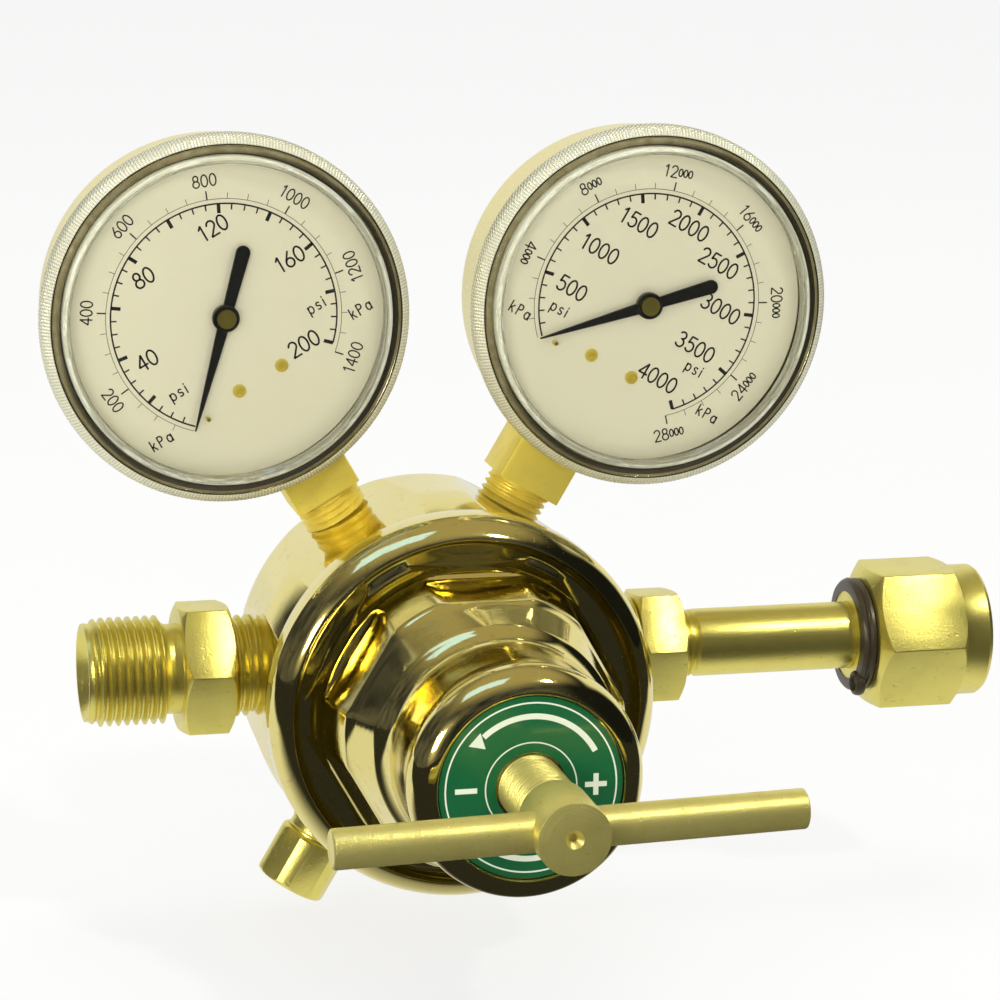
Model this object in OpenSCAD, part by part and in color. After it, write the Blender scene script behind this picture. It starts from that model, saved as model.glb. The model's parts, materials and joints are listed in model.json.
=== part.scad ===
// Two-gauge, single-stage gas cylinder regulator with a tee-bar adjusting screw.
// Frame: origin at the mouth of the inlet nut on the inlet axis, +X out of the nut,
// -Y towards the gauge faces and the adjusting screw, +Z up.
// Most modules are drawn about the bonnet axis and moved into place by on_part().

/* [Body] */
// Radius of the forged body at its widest line
body_r = 39; // [38:0.25:41]
// Front face of the body, forward of the port plane
body_front = 33; // [32:0.5:34]
// Depth of the body behind the port plane
body_back = 16; // [14:0.5:20]
// Depth of the milled port flats below the body's widest line
flat_depth = 3; // [2:0.25:4]
// Radius of the low-pressure chamber
chamber_r = 26; // [24:0.5:26.5]

/* [Bonnet] */
// How far the bonnet ring stands out past the body
ring_over = 0.1; // [-0.4:0.1:1.5]
// Forward position of the ring's fullest line
ring_front = 40.9; // [40:0.1:42]
// Across flats of the wrench boss at its foot
boss_af = 56.2; // [54:0.2:57]
// Across flats of the wrench boss at its top ridge
boss_top_af = 52; // [50:0.2:53]
// Forward position of the boss's top ridge
boss_top = 58; // [56:0.5:60]
// Radius of the shoulder ring above the boss
shoulder_r = 24.1; // [23.4:0.1:24.6]
// Radius of the neck
neck_r = 21.8; // [21:0.1:22.4]
// Radius of the nose
nose_r = 22.7; // [22.4:0.1:23.4]
// Forward position of the nose's rim
nose_front = 94; // [92:0.5:98]
// Radius of the round label
label_r = 17.7; // [16:0.1:17.9]

/* [Adjusting screw] */
// Thread radius of the adjusting screw
screw_r = 6.3; // [5.5:0.05:6.5]
// Radius of the screw's plain head
screw_head_r = 6.9; // [6.8:0.1:8]
// Length of the plain head
screw_head_l = 14.7; // [13.5:0.1:18]
// Radius of the cross bar
bar_r = 3.75; // [3:0.05:4.2]
// Length of the cross bar
bar_l = 88; // [70:1:110]
// Tilt of the cross bar at rest, in degrees
bar_tilt = 1.5; // [0:0.5:5]

/* [Inlet] */
// Distance from the bonnet axis to the mouth of the inlet nut
reach = 121; // [119:0.5:140]
// Across flats of the inlet nut
nut_af = 28.575; // [28:0.1:32]
// Bore radius of the nut's thread
nut_bore_r = 11.47; // [11:0.01:11.6]
// Radius of the inlet nipple
nipple_r = 7.1; // [6.6:0.05:7.4]
// Across flats of the inlet bushing
bushing_af = 22.225; // [22:0.1:24]

/* [Outlet] */
// Radius of the outlet thread
outlet_r = 11.11; // [10.5:0.01:12.5]
// Across flats of the outlet fitting
outlet_af = 25.4; // [24.5:0.1:28]
// Distance from the bonnet axis to the outlet's tip
outlet_reach = 70.3; // [69:0.1:85]

/* [Gauges] */
// Distance from the bonnet axis to a gauge's centre
gauge_dist = 86.7; // [85:0.1:92]
// Outer radius of a gauge's bezel ring
bezel_r = 36.9; // [36.7:0.05:37.7]
// Width of the square wrench block on a gauge stem
stem_w = 14.3; // [13.6:0.1:15]
// Length of a pointer from hub to tip
pointer_l = 23.5; // [20:0.5:26]
// Length of a pointer's tail
tail_l = 15; // [8:0.5:16]

/* [Relief valve] */
// Across flats of the relief valve's housing
relief_af = 14.29; // [14:0.01:16]
// Length of the relief valve's hexagon
relief_l = 11.4; // [11.2:0.1:14]

/* [Hidden] */
$fn = 64;
thread_gap = 0.04;      // radial gap of threads that never turn
run_gap = 0.06;         // radial gap of turning and sliding fits
far = 60;               // larger than any cutter needs

inlet_deg = 0;
high_deg = 60;
low_deg = 120;
outlet_deg = 180;
relief_deg = 240;
port_degs = [inlet_deg, high_deg, low_deg, outlet_deg, relief_deg];

// Body
flat_dist = body_r - flat_depth;    // the port flats' distance from the bonnet axis
part_line = 18;                     // forging's parting line, forward
body_draft = 1;                     // radius lost from the parting line to the port plane
body_front_r = body_r - 0.8;
body_round = 14;
thread_r = 32.4;                    // bonnet thread in the body
seat_w = 20;                        // diaphragm seat, forward
chamber_floor = 13;
big_port_r = 10.4;                  // inlet and outlet port threads
big_port_in = flat_dist - 12;
gauge_port_r = 6.85;
gauge_port_in = flat_dist - 11;
relief_port_r = 5;
relief_port_in = flat_dist - 9;
valve_bore_r = 6.5;
valve_bore_back = -9;
nozzle_r = 8;
nozzle_step = 5;
low_passage = 19;                   // radius at which low-pressure passages rise

// Diaphragm stack
diaphragm_t = 1.2;
diaphragm_w = seat_w + diaphragm_t;
slip_t = 2;
skirt_w = diaphragm_w + slip_t;

// Bonnet
ring_r = body_r + ring_over;
bead_r = 3.2;
groove_r = 3.1;
groove_mid = ring_r - 6.5;
groove_w = ring_front + 2;
foot_w = 46;
foot_corner_r = boss_af / 2 + 2;
top_corner_r = boss_top_af / 2 + 1.7;
shoulder_w = boss_top + 9;
spring_room_r = 18.2;
spring_room_front = nose_front - 12;
label_floor = nose_front - 1.1;
label_t = 0.5;
nose_round = 5.3;

// Adjusting screw and spring
plate_t = 2.5;
plate_front = diaphragm_w + plate_t;
button_back = 46;
button_t = 4;
button_front = button_back + button_t;
spring_mean_r = 12.5;
spring_wire_t = 3.6;
spring_wire_h = 3.1;
spring_turns = 4;
screw_tip_l = 4;
head_back = label_floor + label_t + 17.1;
head_front = head_back + screw_head_l;
bar_w = head_front - 6.4;
bar_shift = 1;

// Valve
seat_lip = 4;
gasket_t = 0.6;
nozzle_head = 16.6;
nozzle_af = 17;
stud_end = 18.2;
poppet_back = -3;
poppet_front = 3.2;
stem_r = 1.1;
orifice_r = 1.6;

// Inlet
bushing_hex_a = flat_dist + 9.2;
bushing_hex_b = bushing_hex_a + 9.4;
nipple_thread_end = bushing_hex_b + 3.8;
nipple_thread_r = nipple_r - 0.25;
nipple_back = flat_dist + 4;
nipple_bore_r = 3.2;
nipple_collar_l = 4;
inlet_bore_r = 3;
filter_room_r = 5;
filter_room_end = flat_dist + 2;
filter_l = 11;
filter_cap = 3;
nut_l = 28.1;
nut_hex_l = 19;
nut_collar_l = 6;
nut_wall_l = 24;
nut_thread_l = 14;
nut_hub_wall = 2;
nut_back = reach - nut_l;
nut_hex_b = reach - nut_collar_l;
nut_hex_a = nut_hex_b - nut_hex_l;
nut_collar_r = nut_af / 2 - 0.4;
nut_hub_r = nipple_r + nut_hub_wall;
nut_flange_r = nut_hub_r + 0.8;
nut_flange_l = 0.7;
keeper_back = nut_back - 0.2;
keeper_eye_r = 2.8;
keeper_hole_r = 1.4;
keeper_eye_at = nut_hub_r + 2.2;
keeper_t = 3;
keeper_eye_turn = 50;
nut_wall = reach - nut_wall_l;
nut_thread_a = reach - nut_thread_l;
nipple_collar_r = 10.2;
bushing_turn = 23;
nut_turn = 29;
outlet_turn = 36;
relief_turn = -2;

// Outlet
outlet_hex_a = flat_dist + 4.5;
outlet_hex_b = outlet_hex_a + 10.5;
outlet_neck_b = outlet_hex_b + 3.6;
outlet_nose_a = outlet_reach - 2.2;
outlet_bore_r = 4.6;
outlet_mouth_r = 7.4;
outlet_cone_l = 6;

// Gauge, in its own frame: hub at the origin, stem along -Z, face towards -Y
case_r = bezel_r - 2.4;
case_back = -8;
case_round = 4;
case_wall = 1.2;
case_front = 13.6;
case_thread_r = bezel_r - 3.05;
case_in_r = case_thread_r - 1.25;
bezel_back = 7.3;
bezel_skirt_r = case_r + 0.4;
bezel_rim_back = 12.6;
bezel_lip_r = bezel_r - 2.3;
bezel_front = 17.5;
ledge_w = 16;
lens_edge_r = case_thread_r - 0.05;
lens_dome_r = case_thread_r - 1;
lens_top = 20.4;
lens_rise = 1.6;
lens_wall = 1.5;
dial_back = 12.1;
dial_front = 12.9;
dial_r = case_in_r - 0.4;
block_out = gauge_dist - flat_dist - 5.5;
thread_out = gauge_dist - gauge_port_in - 0.2;
column_w = 5.4;
column_front = 3.5;
tube_r = 24.1;
tube_t = 1.8;
tube_half_w = 3;
tip_deg = -18;
tube_sweep = 274.4;
tip_l = 2.8;
tip_front = 7.4;
tip_pin = [cos(tip_deg) * tube_r + sin(tip_deg) * tip_l / 2,
           sin(tip_deg) * tube_r - cos(tip_deg) * tip_l / 2];
pivot_z = -10.5;
sector_r = 8.97;
pinion_r = 1.48;
sector_back = 6;
sector_front = 7.5;
tail_pin_r = 5;
tail_rest = -22.5;
link_back = 7.8;
link_front = 8.6;
link_l = 17.9;
plate_back_w = 3.5;
plate_front_w = 9.5;
plate_thick = 1;
arbor_r = 0.55;
pointer_back = 14.1;
pointer_front = 14.7;
zero_deg = 225;
dial_screw_at = [4.9, -14.5];

// Relief valve
relief_hex_a = flat_dist + 7.7;
relief_hex_b = relief_hex_a + relief_l;
relief_round_r = relief_af / 2 + 0.4;   // corners are left from the round bar
relief_neck_r = 6.6;
relief_room_r = 5.2;
relief_seat = relief_hex_a + 1.2;
relief_poppet_l = 2.4;
relief_plug_l = 3;

// Placement helpers
module on_part() { translate([-reach, 0, 0]) children(); }
module facing() { rotate([90, 0, 0]) children(); }
module port(deg) { rotate([0, -deg, 0]) children(); }
module outward() { rotate([0, 90, 0]) children(); }
module gauge_at(deg) { rotate([0, 90 - deg, 0]) translate([0, 0, gauge_dist]) children(); }

module rod(r, a, b) { translate([0, 0, a]) cylinder(r = r, h = b - a); }
module tube(ri, ro, a, b) {
    difference() {
        rod(ro, a, b);
        rod(ri, a - 1, b + 1);
    }
}
// Hexagon with both rims turned down to a cone
module hex_bar(af, a, b, turn, edge) {
    corner = af / 2 / cos(30);
    intersection() {
        translate([0, 0, a]) rotate([0, 0, turn]) cylinder(r = corner, h = b - a, $fn = 6);
        rotate_extrude() polygon([
            [0, a], [corner - edge * 2, a], [corner + 0.01, a + edge * 1.2],
            [corner + 0.01, b - edge * 1.2], [corner - edge * 2, b], [0, b]
        ]);
    }
}
// Rectangular wire wound on a helix, ends cut flat
module coil(mean_r, wire_t, wire_h, pitch, a, b, per_turn, steps) {
    turns = (b - a) / pitch;
    span = 360 * wire_h / pitch;
    ro = mean_r + wire_t / 2;
    ri = mean_r - wire_t / 2;
    translate([0, 0, a])
        linear_extrude(height = b - a, twist = -360 * turns, slices = ceil(turns * per_turn),
                       $fn = 2 * steps + 2)
            polygon(concat(
                [for (i = [0:steps]) [ro * cos(span * i / steps), ro * sin(span * i / steps)]],
                [for (i = [steps:-1:0]) [ri * cos(span * i / steps), ri * sin(span * i / steps)]]
            ));
}

// Body and bonnet
module body_solid() {
    rotate_extrude() {
        polygon([
            [0, -body_back], [body_r - body_draft - body_round, -body_back],
            [body_r - body_draft, body_round - body_back], [body_r - body_draft, 0],
            [body_r, part_line], [body_front_r, body_front], [0, body_front]
        ]);
        intersection() {
            translate([body_r - body_draft - body_round, body_round - body_back])
                circle(r = body_round);
            translate([0, -far]) square(far * 2);
        }
    }
}

module low_riser(deg, r) {
    port(deg) translate([low_passage, 0, 0]) facing() rod(r, -r, chamber_floor + 1);
}

module body() {
    color("goldenrod") difference() {
        facing() body_solid();
        for (deg = port_degs)
            port(deg) translate([flat_dist, -far, -far / 2]) cube([far, far * 2, far]);
        facing() {
            rod(thread_r + thread_gap, seat_w, body_front + 1);
            rod(chamber_r, chamber_floor, seat_w + 1);
            rod(nozzle_r + thread_gap, nozzle_step, chamber_floor + 1);
            rod(valve_bore_r, valve_bore_back, nozzle_step + 1);
        }
        port(inlet_deg) outward() {
            rod(big_port_r + thread_gap, big_port_in, flat_dist + 5);
            rod(3.5, 3, big_port_in + 1);
        }
        port(outlet_deg) outward() {
            rod(big_port_r + thread_gap, big_port_in, flat_dist + 5);
            rod(3, low_passage, big_port_in + 1);
        }
        port(high_deg) outward() {
            rod(gauge_port_r + thread_gap, gauge_port_in, flat_dist + 5);
            rod(1.6, 3, gauge_port_in + 1);
        }
        port(low_deg) outward() {
            rod(gauge_port_r + thread_gap, gauge_port_in, flat_dist + 5);
            rod(1.6, low_passage, gauge_port_in + 1);
        }
        port(relief_deg) outward() {
            rod(relief_port_r + thread_gap, relief_port_in, flat_dist + 5);
            rod(2, low_passage, relief_port_in + 1);
        }
        low_riser(outlet_deg, 3);
        low_riser(low_deg, 2);
        low_riser(relief_deg, 2);
    }
}

module bonnet_skin() {
    rotate_extrude() difference() {
        union() {
            polygon([
                [0, skirt_w], [thread_r, skirt_w], [thread_r, body_front], [ring_r, body_front],
                [ring_r, ring_front], [ring_r - bead_r, ring_front + bead_r],
                [foot_corner_r + 1, ring_front + bead_r], [foot_corner_r, foot_w],
                [top_corner_r, boss_top], [shoulder_r, shoulder_w],
                [shoulder_r - 0.9, shoulder_w + 1.1], [neck_r + 0.5, shoulder_w + 2.6],
                [neck_r, shoulder_w + 4.4], [neck_r, nose_front - 9],
                [nose_r, nose_front - 7.4], [nose_r, nose_front - nose_round],
                [nose_r - nose_round, nose_front], [0, nose_front]
            ]);
            translate([ring_r - bead_r, ring_front]) circle(r = bead_r);
            translate([nose_r - nose_round, nose_front - nose_round]) circle(r = nose_round);
        }
        translate([groove_mid, groove_w]) circle(r = groove_r);
    }
}

module boss_flat() {
    foot = groove_w - groove_r + 0.5;
    rotate([90, 0, 0]) translate([0, 0, -far / 2]) linear_extrude(height = far) polygon([
        [boss_af / 2 + 1.1, foot], [boss_af / 2, foot_w], [boss_top_af / 2, boss_top],
        [shoulder_r, shoulder_w], [shoulder_r, shoulder_w + 0.3],
        [groove_mid + 1, shoulder_w + 0.3], [groove_mid + 1, foot]
    ]);
}

module bonnet() {
    color("gold") facing() difference() {
        bonnet_skin();
        intersection() {
            rod(groove_mid, groove_w - groove_r, shoulder_w + 1);
            union() { for (i = [0:5]) rotate([0, 0, 30 + 60 * i]) boss_flat(); }
        }
        rotate_extrude() polygon([
            [0, skirt_w - 1], [chamber_r, skirt_w - 1], [chamber_r, 30], [spring_room_r, 38],
            [spring_room_r, spring_room_front], [screw_r + run_gap, spring_room_front + 2],
            [screw_r + run_gap, label_floor], [label_r + 0.1, label_floor],
            [label_r + 0.1, nose_front + 1], [0, nose_front + 1]
        ]);
    }
}

module label_plate() {
    color("seagreen") facing() tube(screw_r + 0.45, label_r, label_floor, label_floor + label_t);
}

// Adjusting screw
module adjusting_screw() {
    color("khaki") facing() difference() {
        rotate_extrude() polygon([
            [0, button_front], [2.5, button_front], [4.2, button_front + screw_tip_l],
            [screw_r - 0.6, button_front + screw_tip_l], [screw_r, button_front + screw_tip_l + 0.8],
            [screw_r, head_back], [screw_head_r, head_back], [screw_head_r, head_front - 0.5],
            [screw_head_r - 0.5, head_front], [1.6, head_front], [0.9, head_front - 1.2],
            [0, head_front - 2]
        ]);
        translate([0, 0, bar_w]) rotate([0, 0, bar_tilt]) rotate([0, 90, 0])
            rod(bar_r + thread_gap, -far, far);
    }
}

module handle_bar() {
    color("khaki") facing() translate([0, 0, bar_w]) rotate([0, 0, bar_tilt]) rotate([0, 90, 0])
        rotate_extrude() polygon([
            [0, bar_shift - bar_l / 2], [bar_r - 0.5, bar_shift - bar_l / 2],
            [bar_r, bar_shift - bar_l / 2 + 0.5], [bar_r, bar_shift + bar_l / 2 - 0.5],
            [bar_r - 0.5, bar_shift + bar_l / 2], [0, bar_shift + bar_l / 2]
        ]);
}

module spring_button() {
    color("silver") facing() rotate_extrude() polygon([
        [0, button_back - 2], [9, button_back - 2], [10, button_back],
        [spring_room_r - 1.5, button_back], [spring_room_r - 1.5, button_front - 1],
        [spring_room_r - 2.5, button_front], [0, button_front]
    ]);
}

module range_spring() {
    color("dimgray") facing()
        coil(spring_mean_r, spring_wire_t, spring_wire_h, (button_back - plate_front) / spring_turns,
             plate_front, button_back, 24, 12);
}

module diaphragm_plate() {
    color("silver") facing() rotate_extrude() polygon([
        [0, stud_end], [2.9, stud_end], [2.9, diaphragm_w], [18, diaphragm_w],
        [18, plate_front], [8.5, plate_front], [8, plate_front + 2.5], [0, plate_front + 2.5]
    ]);
}

module diaphragm() {
    color("darkslategray") facing() tube(3, thread_r - 0.2, seat_w, diaphragm_w);
}

module slip_ring() {
    color("khaki") facing() tube(chamber_r + 0.5, thread_r - 0.2, diaphragm_w, skirt_w);
}

// Valve
module nozzle() {
    color("khaki") facing() difference() {
        union() {
            rod(2.6, seat_lip, nozzle_step + gasket_t + 0.1);
            rod(nozzle_r, nozzle_step + gasket_t, chamber_floor);
            hex_bar(nozzle_af, chamber_floor, nozzle_head, 0, 0.5);
        }
        rod(orifice_r, seat_lip - 1, nozzle_head + 1);
    }
}

module nozzle_gasket() {
    color("peru") facing() tube(valve_bore_r + 0.1, nozzle_r, nozzle_step, nozzle_step + gasket_t);
}

module valve_poppet() {
    color("khaki") facing() difference() {
        union() {
            intersection() {
                rod(valve_bore_r - run_gap, poppet_back, poppet_front - 1.4);
                translate([0, 0, poppet_back]) cylinder(r = 6.9, h = 10, $fn = 6);
            }
            rod(4.3, poppet_back, poppet_front);
            rod(stem_r, poppet_back, stud_end);
        }
        difference() {
            rod(3.2, poppet_front - 1, poppet_front + 1);
            rod(stem_r, poppet_front - 2, poppet_front + 2);
        }
        rod(2, poppet_back - 1, poppet_back + 1.5);
    }
}

module valve_seat() {
    color("white") facing() tube(stem_r, 3.2, poppet_front - 1, seat_lip);
}

module poppet_spring() {
    color("dimgray") facing()
        coil(4.4, 1.1, 1, 2, valve_bore_back, poppet_back, 20, 8);
}

// Inlet
module inlet_bushing() {
    color("khaki") port(inlet_deg) outward() difference() {
        union() {
            rod(big_port_r, big_port_in, bushing_hex_a + 1);
            hex_bar(bushing_af, bushing_hex_a, bushing_hex_b, bushing_turn, 0.7);
        }
        rod(filter_room_r, big_port_in - 1, filter_room_end);
        rod(inlet_bore_r, filter_room_end - 1, nipple_back + 1);
        rod(nipple_thread_r + thread_gap, nipple_back, bushing_hex_b + 1);
    }
}

module inlet_filter() {
    color("peru") port(inlet_deg) outward() difference() {
        rod(filter_room_r - thread_gap, filter_room_end - filter_l, filter_room_end);
        rod(2.6, filter_room_end - filter_l - 1, filter_room_end - filter_cap);
    }
}

module inlet_nipple() {
    color("khaki") port(inlet_deg) outward() rotate_extrude() polygon([
        [nipple_bore_r, nipple_back], [nipple_thread_r, nipple_back],
        [nipple_thread_r, nipple_thread_end],
        [nipple_r, nipple_thread_end + 0.3], [nipple_r, nut_wall], [nipple_collar_r, nut_wall],
        [nipple_collar_r, nut_wall + nipple_collar_l],
        [nipple_collar_r - 0.8, nut_wall + nipple_collar_l + 0.8],
        [8.2, nut_wall + 5.2], [7.2, nut_wall + 7.4], [5.4, nut_wall + 9],
        [nipple_bore_r, nut_wall + 9.4]
    ]);
}

module inlet_nut() {
    color("khaki") port(inlet_deg) outward() difference() {
        union() {
            rod(nut_flange_r, nut_back, nut_back + nut_flange_l);
            rod(nut_hub_r, nut_back, nut_hex_a + 1);
            hex_bar(nut_af, nut_hex_a, nut_hex_b, nut_turn, 1.1);
            rotate_extrude() polygon([
                [0, nut_hex_b - 1], [nut_collar_r, nut_hex_b - 1],
                [nut_collar_r, reach - 0.7], [nut_collar_r - 0.7, reach], [0, reach]
            ]);
        }
        rod(nipple_r + run_gap, nut_back - 1, nut_wall + 1);
        rod(nut_bore_r + 0.45, nut_wall, nut_thread_a);
        rod(nut_bore_r, nut_thread_a - 1, reach + 1);
    }
}

module nut_keeper() {
    color("dimgray") port(inlet_deg) outward() difference() {
        union() {
            rotate_extrude() polygon([
                [nut_hub_r, keeper_back], [nut_hub_r + keeper_t - 0.7, keeper_back],
                [nut_hub_r + keeper_t, keeper_back + 0.8],
                [nut_hub_r + keeper_t, nut_hex_a - 0.6],
                [nut_hub_r + keeper_t - 0.6, nut_hex_a], [nut_hub_r, nut_hex_a]
            ]);
            rotate([0, 0, keeper_eye_turn]) translate([0, -keeper_eye_at, 0])
                rod(keeper_eye_r, keeper_back - 1.3, nut_hex_a);
        }
        rod(nut_hub_r + run_gap, nut_back - 3, nut_hex_a + 1);
        rod(nut_flange_r + run_gap, nut_back - 3, nut_back + nut_flange_l + 0.1);
        rotate([0, 0, keeper_eye_turn]) translate([0, -keeper_eye_at, 0])
            rod(keeper_hole_r, nut_back - 3, nut_hex_a + 1);
    }
}

// Outlet
module outlet_fitting() {
    color("khaki") port(outlet_deg) outward() difference() {
        union() {
            rod(big_port_r, big_port_in, outlet_hex_a + 1);
            hex_bar(outlet_af, outlet_hex_a, outlet_hex_b, outlet_turn, 1);
            rod(9.4, outlet_hex_b - 1, outlet_neck_b);
            rod(outlet_r, outlet_neck_b, outlet_nose_a);
            rotate_extrude() polygon([
                [0, outlet_nose_a - 1], [outlet_r - 0.5, outlet_nose_a - 1],
                [outlet_r - 0.5, outlet_nose_a], [outlet_r - 1.2, outlet_reach],
                [0, outlet_reach]
            ]);
        }
        rotate_extrude() polygon([
            [0, big_port_in - 1], [outlet_bore_r, big_port_in - 1],
            [outlet_bore_r, outlet_reach - outlet_cone_l], [outlet_mouth_r, outlet_reach],
            [outlet_mouth_r, outlet_reach + 1], [0, outlet_reach + 1]
        ]);
    }
}

// Relief valve
module relief_housing() {
    color("khaki") port(relief_deg) outward() difference() {
        union() {
            rod(relief_port_r, relief_port_in, flat_dist + 1);
            rod(relief_neck_r, flat_dist, relief_hex_a + 1);
            intersection() {
                hex_bar(relief_af, relief_hex_a, relief_hex_b, relief_turn, 0.7);
                rod(relief_round_r, relief_hex_a, relief_hex_b);
            }
        }
        rod(2, relief_port_in - 1, relief_seat + 1);
        rod(relief_room_r, relief_seat, relief_hex_b + 1);
    }
}

module relief_poppet() {
    color("peru") port(relief_deg) outward() difference() {
        intersection() {
            rod(relief_room_r - run_gap, relief_seat, relief_seat + relief_poppet_l);
            translate([0, 0, relief_seat]) cylinder(r = 5.7, h = 9, $fn = 6);
        }
        rod(1.8, relief_seat + 1.4, relief_seat + relief_poppet_l + 1);
    }
}

module relief_spring() {
    color("dimgray") port(relief_deg) outward()
        coil(3.4, 1.1, 1, 2.1, relief_seat + relief_poppet_l, relief_hex_b - 0.4 - relief_plug_l,
             20, 8);
}

module relief_plug() {
    plug_a = relief_hex_b - 0.4 - relief_plug_l;
    color("khaki") port(relief_deg) outward() difference() {
        rod(relief_room_r - thread_gap, plug_a, plug_a + relief_plug_l);
        rod(1.2, plug_a - 1, plug_a + relief_plug_l + 1);
        translate([-0.6, -far / 2, plug_a + relief_plug_l - 1.2]) cube([1.2, far, 3]);
    }
}

// Gauge pieces, drawn about the hub
module gauge_case() {
    color("darkgoldenrod") difference() {
        facing() rotate_extrude() difference() {
            union() {
                polygon([
                    [0, case_back], [case_r - case_round, case_back],
                    [case_r, case_back + case_round], [case_r, bezel_back],
                    [case_thread_r, bezel_back], [case_thread_r, case_front], [0, case_front]
                ]);
                translate([case_r - case_round, case_back + case_round]) circle(r = case_round);
            }
            polygon([
                [-1, case_back + case_wall],
                [case_r - case_round, case_back + case_wall],
                [case_in_r, case_back + case_round + 1], [case_in_r, case_front + 1],
                [-1, case_front + 1]
            ]);
        }
        translate([-column_w - thread_gap, -5, -case_r - 2])
            cube([2 * (column_w + thread_gap), 5 + column_w + thread_gap, 8]);
    }
}

module gauge_bezel() {
    color("silver") facing() rotate_extrude() polygon([
        [case_thread_r + thread_gap, bezel_back], [bezel_skirt_r, bezel_back],
        [bezel_skirt_r, bezel_rim_back - 0.8], [bezel_r - 0.4, bezel_rim_back],
        [bezel_r, bezel_rim_back + 0.4], [bezel_r, bezel_front - 2.2],
        [bezel_r - 0.6, bezel_front - 1.1], [bezel_r - 1.4, bezel_front - 0.3],
        [bezel_r - 1.9, bezel_front], [bezel_lip_r, bezel_front],
        [bezel_lip_r, ledge_w + 0.7], [lens_dome_r + 0.3, ledge_w + 0.7],
        [lens_dome_r + 0.3, ledge_w], [case_thread_r + thread_gap, ledge_w]
    ]);
}
module gauge_lens() {
    ball = (lens_dome_r * lens_dome_r + lens_rise * lens_rise) / (2 * lens_rise);
    color("lightcyan", 0.4) facing() rotate_extrude() difference() {
        union() {
            polygon([
                [0, case_front + 1], [lens_edge_r, case_front + 1], [lens_edge_r, ledge_w],
                [0, ledge_w]
            ]);
            intersection() {
                translate([0, case_front + 1]) square([lens_dome_r, 10]);
                translate([0, lens_top - ball]) circle(r = ball, $fn = 720);
            }
        }
        intersection() {
            translate([-1, case_front]) square([lens_dome_r - lens_wall + 1, 10]);
            translate([0, lens_top - lens_wall - ball]) circle(r = ball, $fn = 720);
        }
    }
}
module gauge_gasket() {
    color("dimgray") facing() tube(case_in_r + 0.1, lens_edge_r, case_front, case_front + 1);
}

module gauge_socket() {
    color("khaki") difference() {
        union() {
            difference() {
                translate([-stem_w / 2, -stem_w / 2, -block_out])
                    cube([stem_w, stem_w, block_out - 20]);
                facing() rod(case_r, -far, far);
            }
            translate([0, 0, -thread_out]) cylinder(r = gauge_port_r, h = thread_out - block_out + 1);
            translate([-column_w, -4.9, -case_r - 1]) cube([2 * column_w, 4.9 + column_w, 6]);
            translate([-column_w, -column_front, -case_r])
                cube([2 * column_w, column_front + column_w, case_r - 14]);
        }
        translate([0, 0, -thread_out - 1]) cylinder(r = 1.2, h = thread_out - tube_r);
    }
}

module gauge_tube() {
    color("peru") facing() rotate([0, 0, tip_deg]) rotate_extrude(angle = tube_sweep)
        translate([tube_r - tube_t / 2, -tube_half_w]) square([tube_t, 2 * tube_half_w]);
}

module gauge_tube_tip() {
    color("khaki") facing() {
        rotate([0, 0, tip_deg]) translate([tube_r - 1.3, -tip_l, -tube_half_w - 0.2])
            cube([2.6, tip_l, tip_front + tube_half_w + 0.2]);
        translate([tip_pin[0], tip_pin[1], 0]) rod(0.45, tip_front - 1, link_front + 0.2);
    }
}

module gauge_link() {
    lean = atan2(pivot_z + tail_pin_r * sin(tail_rest) - tip_pin[1],
                 tail_pin_r * cos(tail_rest) - tip_pin[0]);
    color("khaki") facing() translate([tip_pin[0], tip_pin[1], 0]) rotate([0, 0, lean])
        difference() {
            union() {
                rod(1.2, link_back, link_front);
                translate([link_l, 0, 0]) rod(1.5, link_back, link_front);
                translate([0, -0.6, link_back]) cube([link_l, 1.2, link_front - link_back]);
            }
            rod(0.45 + run_gap, link_back - 1, link_front + 1);
            translate([link_l, 0, 0]) rod(0.9, link_back - 1, link_front + 1);
        }
}

module gauge_sector() {
    low = 38;
    high = 97;
    color("khaki") facing() translate([0, pivot_z, 0]) {
        translate([0, 0, sector_back]) linear_extrude(height = sector_front - sector_back)
            difference() {
                union() {
                    intersection() {
                        circle(r = sector_r);
                        polygon([
                            [0, 0], [far * cos(low), far * sin(low)],
                            [far * cos(high), far * sin(high)]
                        ]);
                    }
                    circle(r = 2);
                    rotate(tail_rest) translate([0, -1]) square([tail_pin_r, 2]);
                    rotate(tail_rest) translate([tail_pin_r, 0]) circle(r = 1.25);
                }
                for (i = [0:10]) rotate(low + 4.5 + 5 * i)
                    translate([sector_r - 0.35, -0.16]) square([1, 0.32]);
            }
        rod(0.6, plate_back_w + 0.1, sector_back + 0.1);
        rod(0.6, sector_front - 0.1, plate_front_w + plate_thick);
        rotate([0, 0, tail_rest]) translate([tail_pin_r, 0, 0]) rod(0.4, sector_front - 1, 8.4);
    }
}

module gauge_arbor() {
    color("khaki") facing() {
        difference() {
            rod(pinion_r, sector_back - 0.2, sector_front + 0.2);
            for (i = [0:7]) rotate([0, 0, 22.5 + 45 * i]) translate([pinion_r, 0, sector_back - 1])
                rotate([0, 0, 45]) translate([-0.2, -0.2, 0]) cube([0.4, 0.4, 4]);
        }
        rod(arbor_r, plate_back_w + 0.1, pointer_front + 0.7);
        rod(1.9, pointer_front + 0.6, pointer_front + 1.2);
    }
}

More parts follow.
